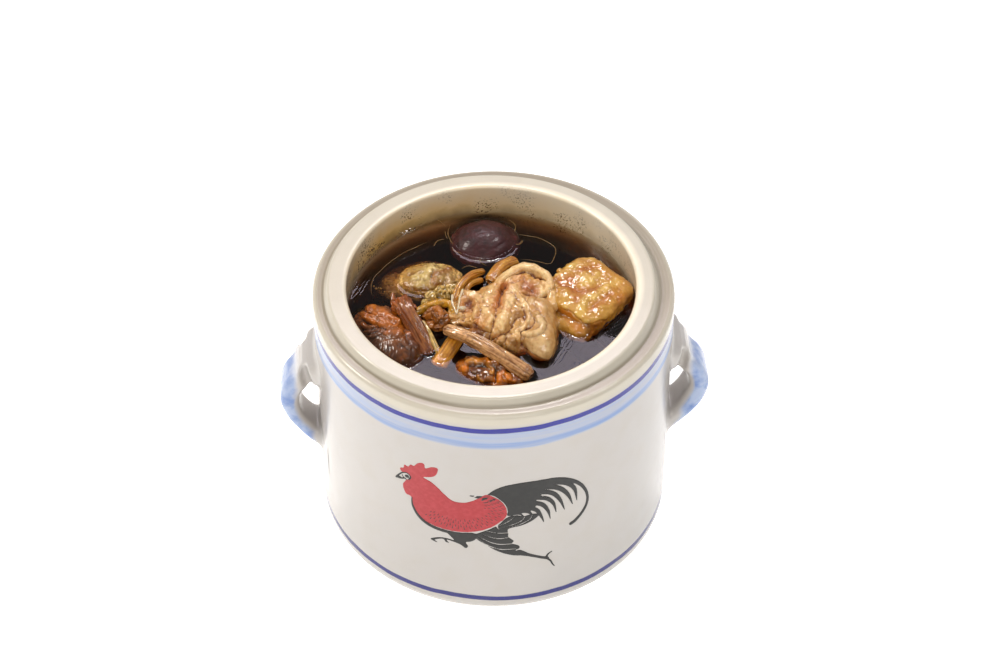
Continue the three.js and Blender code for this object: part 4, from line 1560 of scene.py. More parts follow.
    def dark(self, points: Points) -> np.ndarray:
        """The sheet of skin is a little browner than the meat, but not the rim."""
        return 0.22 * ease(-0.7, 0.8, self.meat(points) - self.skin(points)) * ease(0.5, 1.5, self.rim(points))


@dataclass
class RightChicken(Food):
    """A slab under golden skin, with a second layer of meat below its left side."""

    name: str = "chicken_golden_slab"
    node: str = "chicken_right"
    slot: str = "chicken_skin"
    finish: WetFood = GOLDEN_SKIN
    low: Triple = (14, -18, 80)
    high: Triple = (50, 23, 100)
    folding: float = 0.32
    traces: Sequence[Trace] = (
        plate(
            0.9, 1.1,
            (17, 21.8), (18, 20.5), (17.8, 16.6), (20, 15.1), (20.5, 10.2), (23, 7.7), (25.4, 6.7),
            (27.4, 4.7), (29.4, 3.5), (31.3, 3.5), (34.1, 4.2), (37, 4.7), (39, 6.7), (40.5, 8.4), (42.7, 9.9),
            (45.2, 12.6), (45.7, 14.6), (44.2, 17.1), (42.2, 19.1), (39.7, 20.8), (37.8, 21.8), (35.8, 23.5),
            (34.3, 25), (32.3, 26), (30.4, 26), (27.9, 25.2), (25.4, 24.2), (23, 23.3), (20.5, 22),
        ),
        plate(
            0.5, 0.8,
            (22, 5.5), (23.2, 7.6), (25.4, 6.6), (27.4, 4.6), (29.4, 3.3), (30.2, 3), (30.1, -0.9),
            (27.6, -0.6), (25.4, 1.5), (23.5, 3.8),
        ),
        cut(
            1.3, 0.5,
            (21.2, 8.7), (23.2, 7.6), (25.4, 6.6), (27.4, 4.6), (29.4, 3.3), (31.6, 3.3), (34.1, 3.9),
            (37, 4.4),
        ),
        hollow(1, 1.8, (22, 19.6), (23.9, 20), (26.2, 19.6), (25.9, 17.8), (23.7, 17.1), (21.7, 18.1)),
        cut(
            1.2, 0.9,
            (19.7, 18.8), (21.2, 16.7), (23.7, 16.3), (25.9, 15.1), (27.9, 14.6), (30.4, 14.8), (32.6, 15.6),
            (34.1, 16.1),
        ),
        cut(1, 0.9, (25.4, 14.4), (26.9, 13.3), (26.2, 11.9)),
        roll(
            0.9, 1.2,
            (21, 22), (24.2, 23.1), (26.7, 24.1), (28.4, 24.5), (30.4, 23.5), (32.6, 23.4), (34.3, 22.8),
        ),
        cut(0.8, 0.7, (27.9, 21.9), (30.4, 22.3), (31.8, 22.8), (33.3, 23.3)),
        roll(0.7, 1.1, (27.4, 16.6), (29.4, 17.6), (30.9, 16.8), (32.8, 18.6), (33.3, 20.5)),
        roll(0.6, 0.8, (27.9, 20), (29.4, 20.5), (30.9, 19.8)),
        roll(
            0.9, 1.6,
            (36.8, 15.1), (32.8, 13.4), (29.6, 11.4), (28.1, 9.4), (27.6, 7.5), (29.4, 5.7), (30.9, 5.5),
        ),
        roll(0.35, 0.35, (36.5, 14.4), (33.3, 12.8), (31.6, 9.9)),
        roll(0.35, 0.35, (34.8, 14.6), (31.3, 12.6), (29.1, 9.9)),
        roll(0.35, 0.35, (32.6, 14.1), (29.6, 12.5), (27.9, 10.2)),
        roll(0.35, 0.35, (29.4, 13.6), (27.6, 11.7), (26.9, 9.9)),
        cut(1, 0.9, (37.5, 13.4), (35.1, 11.5), (33.1, 10.2), (31.6, 8.7)),
        cut(0.8, 0.3, (35.1, 7.7), (35.3, 7.6)),
        cut(0.8, 0.3, (37.5, 7.7), (37.6, 7.6)),
        cut(0.8, 0.35, (40.7, 11.4), (41, 11.2)),
        cut(0.7, 0.3, (20.2, 18.3), (20.4, 18.1)),
        cut(0.6, 0.3, (33.8, 14.1), (34.1, 14)),
        roll(0.5, 2, (37.8, 20), (41.5, 17.6), (43.9, 15.1)),
        roll(0.6, 0.8, (17.3, 21.5), (19, 22.3), (20.5, 21.5)),
        roll(0.7, 0.6, (18, 20.3), (19.5, 19.8)),
        cut(0.8, 0.5, (17.8, 16.6), (18.8, 15.6), (20, 15.6)),
        roll(0.5, 0.8, (34.3, 8.2), (36.8, 8.7), (39.2, 10.2)),
        pool(
            "warm", 0.9, 1.5,
            (21.7, 19.8), (23.9, 20.3), (26.4, 19.8), (26.2, 17.6), (23.7, 16.8), (21.5, 17.8),
        ),
        stain(
            "warm", 0.95, 1,
            (19.7, 18.8), (21.2, 16.7), (23.7, 16.3), (25.9, 15.1), (27.9, 14.6), (30.4, 14.8), (32.6, 15.6),
            (34.1, 16.1),
        ),
        stain("warm", 0.9, 1.2, (25.4, 14.4), (26.9, 13.3), (26.2, 11.9)),
        stain("warm", 0.7, 1, (27.9, 21.9), (30.4, 22.3), (31.8, 22.8), (33.3, 23.3)),
        stain("warm", 0.7, 1.3, (37.8, 13.6), (35.1, 11.5), (33.1, 9.9), (32.6, 8.7)),
        pool(
            "warm", 0.7, 0.8,
            (20.5, 8.7), (23.2, 7.6), (27.4, 4.6), (29.4, 3.3), (37, 4.4), (32.8, 0.8), (30.1, -1.4),
            (27.4, -0.7), (21.7, 5.2),
        ),
        pool("warm", 0.5, 1.5, (39.7, 13.1), (45.2, 13.1), (42.7, 9.7), (40, 8.7)),
        stain(
            "tone", 1, 1.5,
            (36.8, 15.1), (32.8, 13.4), (29.6, 11.4), (28.1, 9.4), (27.6, 7.5), (29.4, 5.7), (30.9, 5.5),
        ),
        pool(
            "tone", 0.8, 1.5,
            (27.4, 20), (30.4, 20.5), (33.8, 20.5), (33.8, 17.6), (30.9, 16.6), (28.4, 17.1),
        ),
        stain("tone", 0.7, 1, (18, 21), (19.5, 20)),
        stain("tone", 0.5, 1.2, (21, 22), (24.2, 23.1), (26.7, 24.1), (28.4, 24.5)),
        stain("tone", 0.5, 1.4, (21.7, 13.1), (23, 10.7), (25.9, 8.7)),
        # Painted shade: these crease marks darken the layer under the slab's edge and the slab's right edge.
        stain("crease", 0.55, 0.7, (30.4, 3), (30.2, -0.7)),
        pool("crease", 0.5, 0.8, (30.4, 3), (37, 4.4), (33.3, 1), (30.4, -0.7)),
        stain("crease", 0.4, 0.9, (45.2, 13.4), (43, 10.9), (40.5, 9.4)),
    )

    def form(self, points: Points) -> np.ndarray:
        """The slab, the layer under it, and frayed scraps of skin along its far left edge."""
        slab = ball((32.6, 1.8, 91.6), (12.2, 13.2, 3.5), (5, 7, -42), 4.6)(points)
        under = ball((29.4, -2.8, 86.4), (9.8, 11.4, 5), (0, 0, -42), 5.0)(points)
        made = fused(slab, under, 0.5)
        for i in range(9):
            share = i / 8
            at = (20.4 + 11.2 * share, 5.0 + 13.6 * share - 2.0 * share * share, 94.0 - 1.6 * share)
            made = fused(made, ball(at, (2.0 - 0.3 * (i % 3), 1.2, 0.7 + 0.3 * (i % 2)), (20 * i, 30, 47 * i))(points), 0.4)
        return made

    def fringe(self, points: Points) -> np.ndarray:
        """1 on the scraps along the far left edge."""
        return ease(11.4, 12.6, -0.67 * (points[:, 0] - 32.6) + 0.74 * (points[:, 1] - 1.8))

    def grain(self, points: Points) -> np.ndarray:
        """Soft swells with goose bumps, a torn lower edge and ragged scraps."""
        swell = 0.5 * Noise(21).layers(points, 6.0, 3) + 0.07 * Noise(22).ridges(points, 1.8)
        torn = 0.4 * Noise(24).ridges(points * (1, 1, 0.5), 2.4) * ease(91.0, 88.5, points[:, 2])
        return swell + torn + 0.5 * Noise(26).ridges(points, 1.6) * self.fringe(points)

    def warm(self, points: Points) -> np.ndarray:
        """Orange here and there."""
        return 0.4 * ease(0.0, 0.9, Noise(27).layers(points, 6.0, 3)) + 0.2 * self.fringe(points)


@dataclass
class LeftChicken(Food):
    """A pale piece that only just breaks the surface, with its larger part under it."""

    name: str = "chicken_sunken_piece"
    node: str = "chicken_left"
    slot: str = "sunken_chicken"
    finish: WetFood = SUNKEN_MEAT
    low: Triple = (-44, 1, 61)
    high: Triple = (-3, 38, 95)
    folding: float = 0.5
    traces: Sequence[Trace] = (
        plate(
            0.9, 1.6,
            (-33.2, 14.6), (-33.5, 16.9), (-32.2, 18.7), (-30.6, 20), (-28.4, 21.9), (-26.8, 23.2),
            (-25.3, 25.1), (-22.6, 25.9), (-19.9, 26.4), (-17.5, 26.2), (-15.7, 24.8), (-15.4, 23.5),
            (-17.3, 21.4), (-19.4, 19), (-19.9, 16.9), (-22.6, 15.3), (-25.3, 14.7), (-29.2, 14.5),
        ),
        roll(0.9, 1.2, (-23.7, 23.2), (-25, 20.3), (-27.1, 16.9)),
        roll(0.8, 1.4, (-22.6, 24.8), (-19.4, 25.1), (-17, 24)),
        roll(0.7, 1, (-30.6, 18.7), (-28.7, 19.4), (-26.8, 19)),
        cut(0.9, 0.8, (-23.1, 21.1), (-23.7, 19), (-24.2, 16.9)),
        cut(0.6, 0.6, (-21.3, 19.5), (-20.7, 17.9)),
        cut(0.6, 0.5, (-19.1, 21.6), (-20.5, 20)),
        cut(0.6, 0.5, (-26.3, 20.6), (-27.9, 20)),
        roll(0.6, 0.6, (-22.6, 22.2), (-21, 22.4), (-19.4, 21.9)),
        roll(0.6, 0.5, (-22.6, 17.7), (-21.3, 16.9)),
        stain("warm", 0.9, 1.2, (-17.5, 22.2), (-19.7, 21.1), (-22.3, 20.6), (-23.1, 17.9), (-21.3, 16.9)),
        stain("warm", 0.8, 0.9, (-32.7, 16.9), (-31.6, 15.5), (-29, 14.9), (-25.3, 15.3)),
        pool(
            "tone", 0.9, 1.4,
            (-30, 19), (-26.3, 22.2), (-23.7, 24.3), (-17.8, 25.4), (-16.7, 24), (-20.5, 22.4), (-23.4, 21.1),
            (-24.2, 17.9), (-26.3, 16.3), (-29, 16.9),
        ),
    )

    def form(self, points: Points) -> np.ndarray:
        """The lump that stands out, on a wide back that slopes down into the soup."""
        top = ball((-20.6, 15.6, 85.0), (11.6, 8.4, 6.0), (0, 4, -2), 2.3)(points)
        back = ball((-24.6, 17.6, 74.0), (16.6, 14.6, 10.2), (0, -8, -8))(points)
        shoulder = ball((-32.6, 16.0, 80.4), (7.0, 7.4, 5.6), (0, 0, -8))(points)
        return fused(fused(top, back, 4.0), shoulder, 3.0)

    def grain(self, points: Points) -> np.ndarray:
        """Soft lumps with fine fibres."""
        return 0.6 * Noise(31).layers(points, 5.0, 4) + 0.2 * Noise(32).ridges(points, 1.8) - 0.2

    def warm(self, points: Points) -> np.ndarray:
        """Browner under the surface: a painted tint for the broth over it."""
        return 0.25 * ease(88.5, 86.5, points[:, 2]) + 0.3 * Noise(34).at(points, 2.2)

    def dark(self, points: Points) -> np.ndarray:
        """Darker the further down it is: painted shade for the light that the broth over it takes away."""
        return 0.8 * ease(88.2, 82.0, points[:, 2])


@dataclass
class RedDate(Food):
    """A plump dried date, soaked until it is nearly smooth."""

    name: str = "red_date_fruit"
    node: str = "red_date"
    slot: str = "red_date_skin"
    finish: WetFood = DATE_SKIN
    low: Triple = (-16, 20, 73)
    high: Triple = (14, 49, 96)
    cell: float = 0.4
    folding: float = 0.25
    traces: Sequence[Trace] = (
        roll(0.55, 1.2, (-6, 30.6), (-2.2, 30.7), (0.9, 32.6)),
        cut(0.6, 0.8, (-6.6, 29.2), (-2.2, 29.3), (2.5, 31.4)),
        roll(0.5, 0.9, (-5.3, 26.8), (-0.9, 27.9), (2.8, 30.6)),
        cut(0.35, 1, (-13.5, 40), (-12.3, 36.2), (-13.5, 33.1)),
        roll(0.3, 0.6, (-13.8, 34.7), (-13.2, 36.2)),
        roll(0.3, 0.6, (-11.8, 35.3), (-10.5, 36.4)),
        roll(0.25, 0.5, (-8, 37.3), (-7.2, 36.9)),
        cut(0.4, 1.2, (-2.2, 39.1), (0.3, 36.9), (1.6, 34.3)),
    )

    def form(self, points: Points) -> np.ndarray:
        """A ball a little wider than deep."""
        return ball((-1, 34.6, 84.4), (12.4, 11.4, 8.6))(points)

    def grain(self, points: Points) -> np.ndarray:
        """Shallow wrinkles left from drying."""
        return 0.22 * Noise(41).layers(points, 6.0, 4) + 0.08 * Noise(42).ridges(points, 1.5)


@dataclass
class LeftMushroom(Food):
    """A folded cap: glossy amber pleats above, and dark fine gills that fan out below them."""

    name: str = "mushroom_folded_cap"
    node: str = "mushroom_left"
    slot: str = "dark_mushroom"
    finish: WetFood = DARK_MUSHROOM
    low: Triple = (-52, -32, 78)
    high: Triple = (-20, 7, 98)
    folding: float = 0.85
    traces: Sequence[Trace] = (
        roll(
            1.3, 1,
            (-46, 8.8), (-44.4, 9.2), (-42.5, 8.8), (-40.4, 7.7), (-38.6, 6.5), (-36.5, 5.2), (-34.9, 4),
        ),
        roll(1, 0.9, (-45.7, 10), (-42.5, 10), (-39.7, 8.9), (-37.4, 7.5), (-35.6, 6.3)),
        roll(1.6, 0.9, (-47.3, 6.3), (-44.8, 5.9), (-42.5, 5), (-39.7, 4), (-37.7, 2.6), (-36.1, 2.2)),
        roll(1.3, 0.7, (-46.9, 5.1), (-44.4, 4.2), (-41.6, 3), (-39.3, 2.3)),
        roll(1.2, 0.75, (-45.5, 7.8), (-42.5, 6.9), (-39.7, 5.6), (-37.4, 4.4), (-35.6, 3.3)),
        cut(1.7, 0.5, (-46.7, 7.9), (-43.9, 7.6), (-41.1, 6.5), (-38.4, 5.2), (-36.1, 3.8)),
        cut(1.9, 0.5, (-47.1, 7), (-43.9, 6.6), (-41.1, 5.4), (-38.4, 4.3), (-36.5, 3.1)),
        cut(1.9, 0.6, (-46.2, 4), (-43.4, 3.1), (-41.1, 2.1), (-39.3, 1.5)),
        plate(
            1.2, 1.4,
            (-39.3, 1.7), (-37.4, 2.3), (-34.7, 2), (-33.1, 0.8), (-34, -1), (-36.1, -2.2), (-38.8, -1.5),
            (-40.7, -0.3),
        ),
        roll(1.1, 0.9, (-47.3, 3), (-46.2, 2), (-44.4, 2), (-42.5, 2.6)),
        roll(1, 0.9, (-46.7, 0.8), (-44.8, 0.6), (-43, 1.3), (-40.7, 1.5)),
        cut(1.3, 0.6, (-47.6, 1.3), (-45.7, 1.2), (-43.9, 1.3), (-42, 2.1)),
        roll(0.8, 0.9, (-45, -1), (-43.2, -0.3), (-41.4, 0.3)),
        cut(1.1, 0.6, (-45.7, -0.3), (-43.7, 0.2), (-41.6, 0.9)),
        roll(0.6, 0.8, (-33.8, -2), (-32.8, -3.8), (-31.4, -5.2)),
        cut(0.9, 0.5, (-32.8, 1.3), (-32.1, -1), (-30.8, -3.6)),
        stain(
            "warm", 1, 1.1,
            (-46, 8.8), (-44.4, 9.2), (-42.5, 8.8), (-40.4, 7.7), (-38.6, 6.5), (-36.5, 5.2), (-34.9, 4),
        ),
        stain("warm", 1, 1, (-47.3, 6.3), (-44.8, 5.9), (-42.5, 5), (-39.7, 4), (-37.7, 2.6), (-36.1, 2.2)),
        stain("warm", 1, 0.9, (-46.9, 5.1), (-44.4, 4.2), (-41.6, 3), (-39.3, 2.3)),
        stain("warm", 0.9, 0.9, (-45.5, 7.8), (-42.5, 6.9), (-39.7, 5.6), (-37.4, 4.4), (-35.6, 3.3)),
        pool(
            "warm", 1, 1.3,
            (-39.3, 2), (-37.4, 2.4), (-34.7, 2), (-33.3, 0.8), (-34.2, -1), (-36.1, -2), (-38.8, -1.5),
            (-40.7, -0.3),
        ),
        pool(
            "warm", 0.45, 2,
            (-39.3, -1.5), (-33.3, -1), (-31.4, -5.2), (-32.8, -8.4), (-36.1, -7.5), (-38.8, -4.7),
        ),
        stain("tone", 0.9, 0.5, (-43.9, 5.8), (-41.6, 4.8), (-39.3, 4)),
    )

    def form(self, points: Points) -> np.ndarray:
        """The cap's two lobes."""
        cap = ball((-36.8, -12.6, 87), (16.4, 9.2, 6.2), (6, -4, -57))(points)
        lobe = ball((-33.6, -18.0, 88.4), (8.8, 7.4, 5.2), (6, -4, -57))(points)
        return fused(cap, lobe, 2.0)

    def gills(self, points: Points) -> np.ndarray:
        """Fine gills that fan out from the end of the main pleat, from -1 to 1."""
        flat = VIEW.flat(points) - (-38.6, 3.2)
        way = np.arctan2(flat[:, 0], -flat[:, 1]) + 0.1 * Noise(54).at(points, 4.0)
        return np.sin(44 * way) * ease(1.5, 4.0, np.hypot(*flat.T)) * ease(2.5, 0.5, flat[:, 1] + 0.3 * flat[:, 0])

    def grain(self, points: Points) -> np.ndarray:
        """Gills over slow lumps."""
        return 0.07 * self.gills(points) + 0.32 * Noise(53).layers(points, 4.0, 3) - 0.15

    def tone(self, points: Points) -> np.ndarray:
        """The gills' edges catch the light."""
        return 0.1 * self.gills(points) + 0.15 * Noise(55).at(points, 4.0)

    def warm(self, points: Points) -> np.ndarray:
        """A hint of amber through the thin parts."""
        return 0.2 + 0.5 * ease(0.0, 0.8, Noise(56).layers(points, 4.0, 2))

    def dark(self, points: Points) -> np.ndarray:
        """The gills below the pleats are dark."""
        u, v = VIEW.flat(points).T
        return 0.6 * ease(3.0, -2.5, v + 0.3 * (u + 38) + Noise(57).at(points, 3.0))


@dataclass
class WrinkledCap(Food):
    """A small tight cap with deep wrinkles."""

    name: str = "mushroom_wrinkled_cap"
    node: str = "wrinkled_cap"
    slot: str = "dark_mushroom"
    finish: WetFood = DARK_MUSHROOM
    low: Triple = (-27, -14, 84)
    high: Triple = (-12, 2, 97)
    cell: float = 0.22
    traces: Sequence[Trace] = (
        roll(1.2, 0.75, (-26.4, 5.4), (-25.5, 7), (-23.8, 8.4), (-22.2, 8.6), (-20.9, 7.5), (-20.4, 5.4)),
        roll(1.1, 0.7, (-25.2, 5.2), (-23.8, 6.3), (-22.7, 5.9), (-21.5, 4.5)),
        roll(1.1, 0.7, (-26.1, 4), (-24.8, 3.6), (-23.4, 2.6)),
        roll(1, 0.6, (-22.9, 6.3), (-21.8, 6.3), (-21.3, 5)),
        cut(1.5, 0.55, (-25.5, 5.6), (-24.1, 7), (-22.5, 7.3)),
        cut(1.5, 0.55, (-25.2, 4.3), (-23.6, 4.7), (-22.7, 3.8), (-22.2, 2.6)),
        cut(1.2, 0.5, (-21.5, 5.9), (-21.3, 4), (-21.8, 3.1)),
    )

    def form(self, points: Points) -> np.ndarray:
        """A small ball."""
        return ball((-19.6, -6.4, 89.8), (4.3, 4.0, 3.4))(points)

    def grain(self, points: Points) -> np.ndarray:
        """Brain-like wrinkles."""
        bent = points + 0.9 * Noise(61).at(points, 3.0)[:, None]
        return 0.5 * Noise(62).ridges(bent, 1.7) + 0.12 * Noise(63).at(points, 0.8)

    def tone(self, points: Points) -> np.ndarray:
        """The crests are pale."""
        return 0.25 + 0.9 * ease(-0.2, 0.4, self.grain(points))


@dataclass
class OliveFrill(Food):
    """A frilled scrap of cap at the edge of the meat, on a yellow ribbon of stalk skin."""

    name: str = "mushroom_olive_frill"
    node: str = "olive_frill"
    slot: str = "olive_mushroom_flesh"
    finish: WetFood = OLIVE_MUSHROOM
    low: Triple = (-31, -8, 84)
    high: Triple = (-7, 14, 96)
    cell: float = 0.24

    def ribbon(self, points: Points) -> np.ndarray:
        """The ribbon that runs in front of the frill."""
        route = [(-27.6, -2.4, 88.6), (-23.0, 0.6, 89.4), (-18.4, 1.8, 89.8), (-14.6, 0.4, 90.2), (-13.6, -5.0, 90.4)]
        return rod(route, lambda t: 1.5)(points)

    def form(self, points: Points) -> np.ndarray:
        """A bank of frill in lumps, and the ribbon."""
        made = ball((-17.0, 6.2, 89.0), (6.4, 3.0, 2.5), (0, -6, 24))(points)
        for at, size in (
            ((-20.8, 4.4, 90.2), (2.2, 1.9, 2.0)), ((-17.6, 6.4, 91.0), (2.0, 1.6, 1.6)),
            ((-13.4, 6.6, 91.2), (3.0, 1.8, 1.7)), ((-22.4, 2.6, 89.2), (1.8, 1.8, 1.6)),
        ):
            made = fused(made, ball(at, size)(points), 0.4)
        return fused(made, self.ribbon(points), 0.4)

    def grain(self, points: Points) -> np.ndarray:
        """Curly frills."""
        bent = points + 1.1 * Noise(65).at(points, 3.0)[:, None]
        share = ease(0.2, 1.2, self.ribbon(points))
        return (0.8 * Noise(66).ridges(bent, 1.7) - 0.1) * share + 0.2 * Noise(67).layers(points, 1.6, 2)

    def tone(self, points: Points) -> np.ndarray:
        """Crests of the frill are pale."""
        return 0.7 * ease(0.0, 0.8, self.grain(points))

    def warm(self, points: Points) -> np.ndarray:
        """The ribbon is yellow."""
        return 0.85 * ease(0.8, 0.0, self.ribbon(points))


@dataclass
class AmberMushroom(Food):
    """A soft clump of cap in front of the meat: brown pleats above, glossy amber below."""

    name: str = "mushroom_amber_clump"
    node: str = "amber_mushroom"
    slot: str = "amber_mushroom_flesh"
    finish: WetFood = AMBER_MUSHROOM
    low: Triple = (-22, -43, 80)
    high: Triple = (14, -20, 97)
    cell: float = 0.28
    folding: float = 0.8
    traces: Sequence[Trace] = (
        roll(1.3, 0.9, (-11.2, -9.9), (-8.9, -9.5), (-6.3, -9.9), (-3.7, -10.2), (-1.7, -11.1)),
        roll(1.2, 0.9, (-2.3, -10.8), (0, -11.9), (1.7, -13.7), (3.7, -15.7)),
        cut(1.5, 0.7, (-10.4, -11.1), (-7.5, -11.1), (-4.3, -11.6), (-2.6, -13.4)),
        plate(
            1.2, 1.3,
            (-7.5, -14.5), (-5.2, -12.8), (-2.3, -12.8), (-1.4, -14.5), (-2.3, -16.8), (-5.8, -17.1),
            (-7.8, -15.7),
        ),
        plate(1.3, 1.3, (-0.9, -13.9), (1.2, -13.4), (4, -15.7), (5.2, -17.1), (1.2, -17.4), (-1.2, -16.8)),
        cut(1.5, 0.6, (-1.3, -12.8), (-1.3, -15.1), (-2, -17.1)),
        roll(0.9, 0.7, (-7.8, -14.8), (-7.2, -16), (-5.8, -16.8)),
        roll(0.9, 0.8, (-4, -10.8), (-2.9, -12.5), (-2.6, -14.2)),
        cut(1.2, 0.6, (-10.9, -11.6), (-10.4, -13.4), (-8.6, -14.5)),
        plate(0.9, 1.2, (-13.8, -11.1), (-11.8, -10.2), (-10.7, -11.6), (-11.5, -13.9), (-13.2, -13.4)),
        pool("warm", 1, 1, (-1.2, -13.7), (1.7, -13.4), (5.2, -16.8), (1.2, -17.7), (-2.3, -17.4)),
        pool("warm", 0.9, 1, (-13.8, -10.8), (-11.5, -10.2), (-10.7, -11.9), (-11.8, -14.2), (-13.5, -13.4)),
        stain("warm", 0.8, 1, (-8.1, -7.3), (-5.8, -8.5), (-4, -9)),
        stain("tone", 0.9, 0.8, (-11.2, -9.9), (-8.9, -9.5), (-6.3, -9.9)),
        stain("tone", 0.7, 0.8, (-4, -11.1), (-2.6, -13.4)),
        stain("tone", 0.7, 0.6, (-7.8, -14.8), (-7.2, -16), (-5.8, -16.8)),
        # Painted shade in the fold under the upper pleat.
        pool("crease", 0.5, 1.2, (-10.4, -11.6), (-4.6, -11.6), (-7.5, -14.5), (-10.4, -14.5)),
    )

    def form(self, points: Points) -> np.ndarray:
        """Four lobes side by side."""
        made = ball((-3, -31, 86.6), (12.4, 5.8, 4.0), (0, 0, -24))(points)
        for at, size in (
            ((-9.4, -28.2, 88.0), (4.0, 3.0, 2.4)), ((-2.2, -31.6, 89.0), (4.2, 3.4, 2.6)),
            ((4.6, -35.2, 88.2), (3.8, 2.9, 2.7)), ((-1.0, -36.4, 88.0), (4.0, 2.5, 2.3)),
        ):
            made = fused(made, ball(at, size, (0, 0, -30))(points), 0.7)
        return made

    def grain(self, points: Points) -> np.ndarray:
        """Slack folds across the clump."""
        bent = points * (1, 0.6, 1) + 1.0 * Noise(75).at(points, 4.0)[:, None]
        return 0.3 * Noise(76).ridges(bent, 3.6) + 0.16 * Noise(77).layers(points, 2.4, 3) - 0.15

    def tone(self, points: Points) -> np.ndarray:
        """Hardly any of it is pale."""
        return 0.15 * Noise(78).at(points, 3.0)


@dataclass
class Stalk(Food):
    """A mushroom stalk: strands side by side along a bent route, with torn threads at a frayed end."""

    route: Sequence[Triple] = ()
    start: float = 2.0
    end: float = 2.0
    flat: float = 1.0
    strands: int = 9
    groove: float = 0.12
    rings: float = 0.0
    ring_pitch: float = 1.3
    frayed: bool = False
    paleness: float = 0.4
    warmth: float = 0.0
    seed: int = 81
    around: int = 96

    def radius(self, along: float) -> float:
        """The stalk's radius, drawn in at ends that aren't frayed."""
        edge = 1 - along if self.frayed else min(along, 1 - along)
        shrink = 0.5 + 0.5 * math.sqrt(min(edge / 0.06, 1.0))
        flare = 1 + 0.16 * math.exp(-((along / 0.12) ** 2)) if self.frayed else 1
        return (self.start + (self.end - self.start) * along) * shrink * flare

    def form(self, points: Points) -> np.ndarray:
        """The rod as a distance, for the soup's edge round it."""
        return rod(self.route, self.radius)(points)

    def tube(self, corners: Sequence[Triple], radius: Callable[[float], float], strands: int) -> Surface:
        """A closed tube of strands along a route, marked for its finish."""
        fine = smooth_route(corners, 200)
        length = np.linalg.norm(np.diff(fine, axis=0), axis=1).sum()
        steps = max(12, int(length / (0.28 * 1.0)))
        centre = smooth_route(corners, steps)
        way = np.gradient(centre, axis=0)
        way /= np.linalg.norm(way, axis=1)[:, None]
        side = np.cross(way, (0, 0, 1.0))
        side /= np.linalg.norm(side, axis=1)[:, None]
        up = np.cross(side, way)
        turn, share = np.meshgrid(
            np.linspace(0, 2 * np.pi, self.around, endpoint=False), np.linspace(0, 1, steps + 1)
        )
        size = np.array([radius(t) for t in share[:, 0]])[:, None]
        run = share * length
        spot = np.stack([size * np.cos(turn), size * np.sin(turn), run * 0.12], -1).reshape(-1, 3)
        wander = 0.5 * Noise(self.seed).at(spot, 2.5).reshape(turn.shape)
        evenly = np.abs(np.sin(strands * (turn + wander) / 2)) ** 0.7
        torn = np.abs(Noise(self.seed + 3).at(spot, 1.5).reshape(turn.shape)) * 1.6
        valleys = np.clip(0.35 * evenly + 0.65 * torn, 0, 1)
        fibres = Noise(self.seed + 1).at(spot, 0.55).reshape(turn.shape)
        knots = Noise(self.seed + 2).at(spot * (1, 1, 5.0), 3.2).reshape(turn.shape)
        rings = self.rings * np.sin(2 * np.pi * (run + 0.3 * knots) / self.ring_pitch)
        grown = size * (1 + self.groove * (valleys - 0.75) + 0.07 * knots) + 0.1 * fibres + rings
        points = (
            centre[:, None]
            + (grown * np.cos(turn) * self.flat)[..., None] * side[:, None]
            + (grown * np.sin(turn))[..., None] * up[:, None]
        ).reshape(-1, 3)
        faces = grid_faces(steps + 1, self.around, wrap=True)
        caps = []
        for row, turned in ((0, False), (steps, True)):
            middle = len(points)
            points = np.vstack([points, centre[row]])
            start = row * self.around
            for j in range(0, self.around, 2):
                ring = [start + j, start + (j + 1) % self.around, start + (j + 2) % self.around]
                caps.append([middle, *(ring[::-1] if turned else ring)])
        made = Surface(points, np.vstack([faces, caps])[:, ::-1])
        # Painted shade: the grooves between strands, the sunken fibres and the troughs between rings are darkened,
        # and the centres of both ends are marked dark.
        dark = 0.5 * ease(0.5, 0.0, valleys) + 0.35 * ease(0.1, -0.7, fibres) + 0.35 * ease(0, -1.2, rings)
        pale = self.paleness + 0.5 * fibres + 0.5 * knots
        tip = ease(0.2, 0.0, share) if self.frayed else 0 * share
        for name, values in (("crease", dark), ("tone", pale), ("warm", np.maximum(tip, self.warmth + 0.4 * knots))):
            made.marks[name] = np.append(values.ravel(), [0.8, 0.8] if name == "crease" else [0.3, 0.3])
        return made

    def build(self) -> bpy.types.Object:
        """Makes the stalk with its threads as one piece."""
        made = self.tube(self.route, self.radius, self.strands)
        if self.frayed:
            rng = np.random.default_rng(self.seed)
            root, inward = np.array(self.route[0]), np.array(self.route[1]) - np.array(self.route[0])
            inward /= np.linalg.norm(inward)
            for _ in range(14):
                out = rng.normal(size=3) * (1.0, 0.8, 0.45)
                start = root + inward * 3.0 + out * 0.5 * self.start
                tip = root - inward * rng.uniform(-1.2, 0.9) + out * self.start * 0.62
                middle = (start + tip) / 2 + rng.normal(size=3) * 0.5
                thick = rng.uniform(0.7, 1.3)
                thread = self.tube([start, middle, tip], lambda t: thick * (1 - 0.45 * t), 3)
                thread.marks["warm"] = np.full(len(thread.points), 0.75)
                made = made.joined(thread)
        return make_piece(self.name, made, self.finish.material(), self.slot, [self.node])


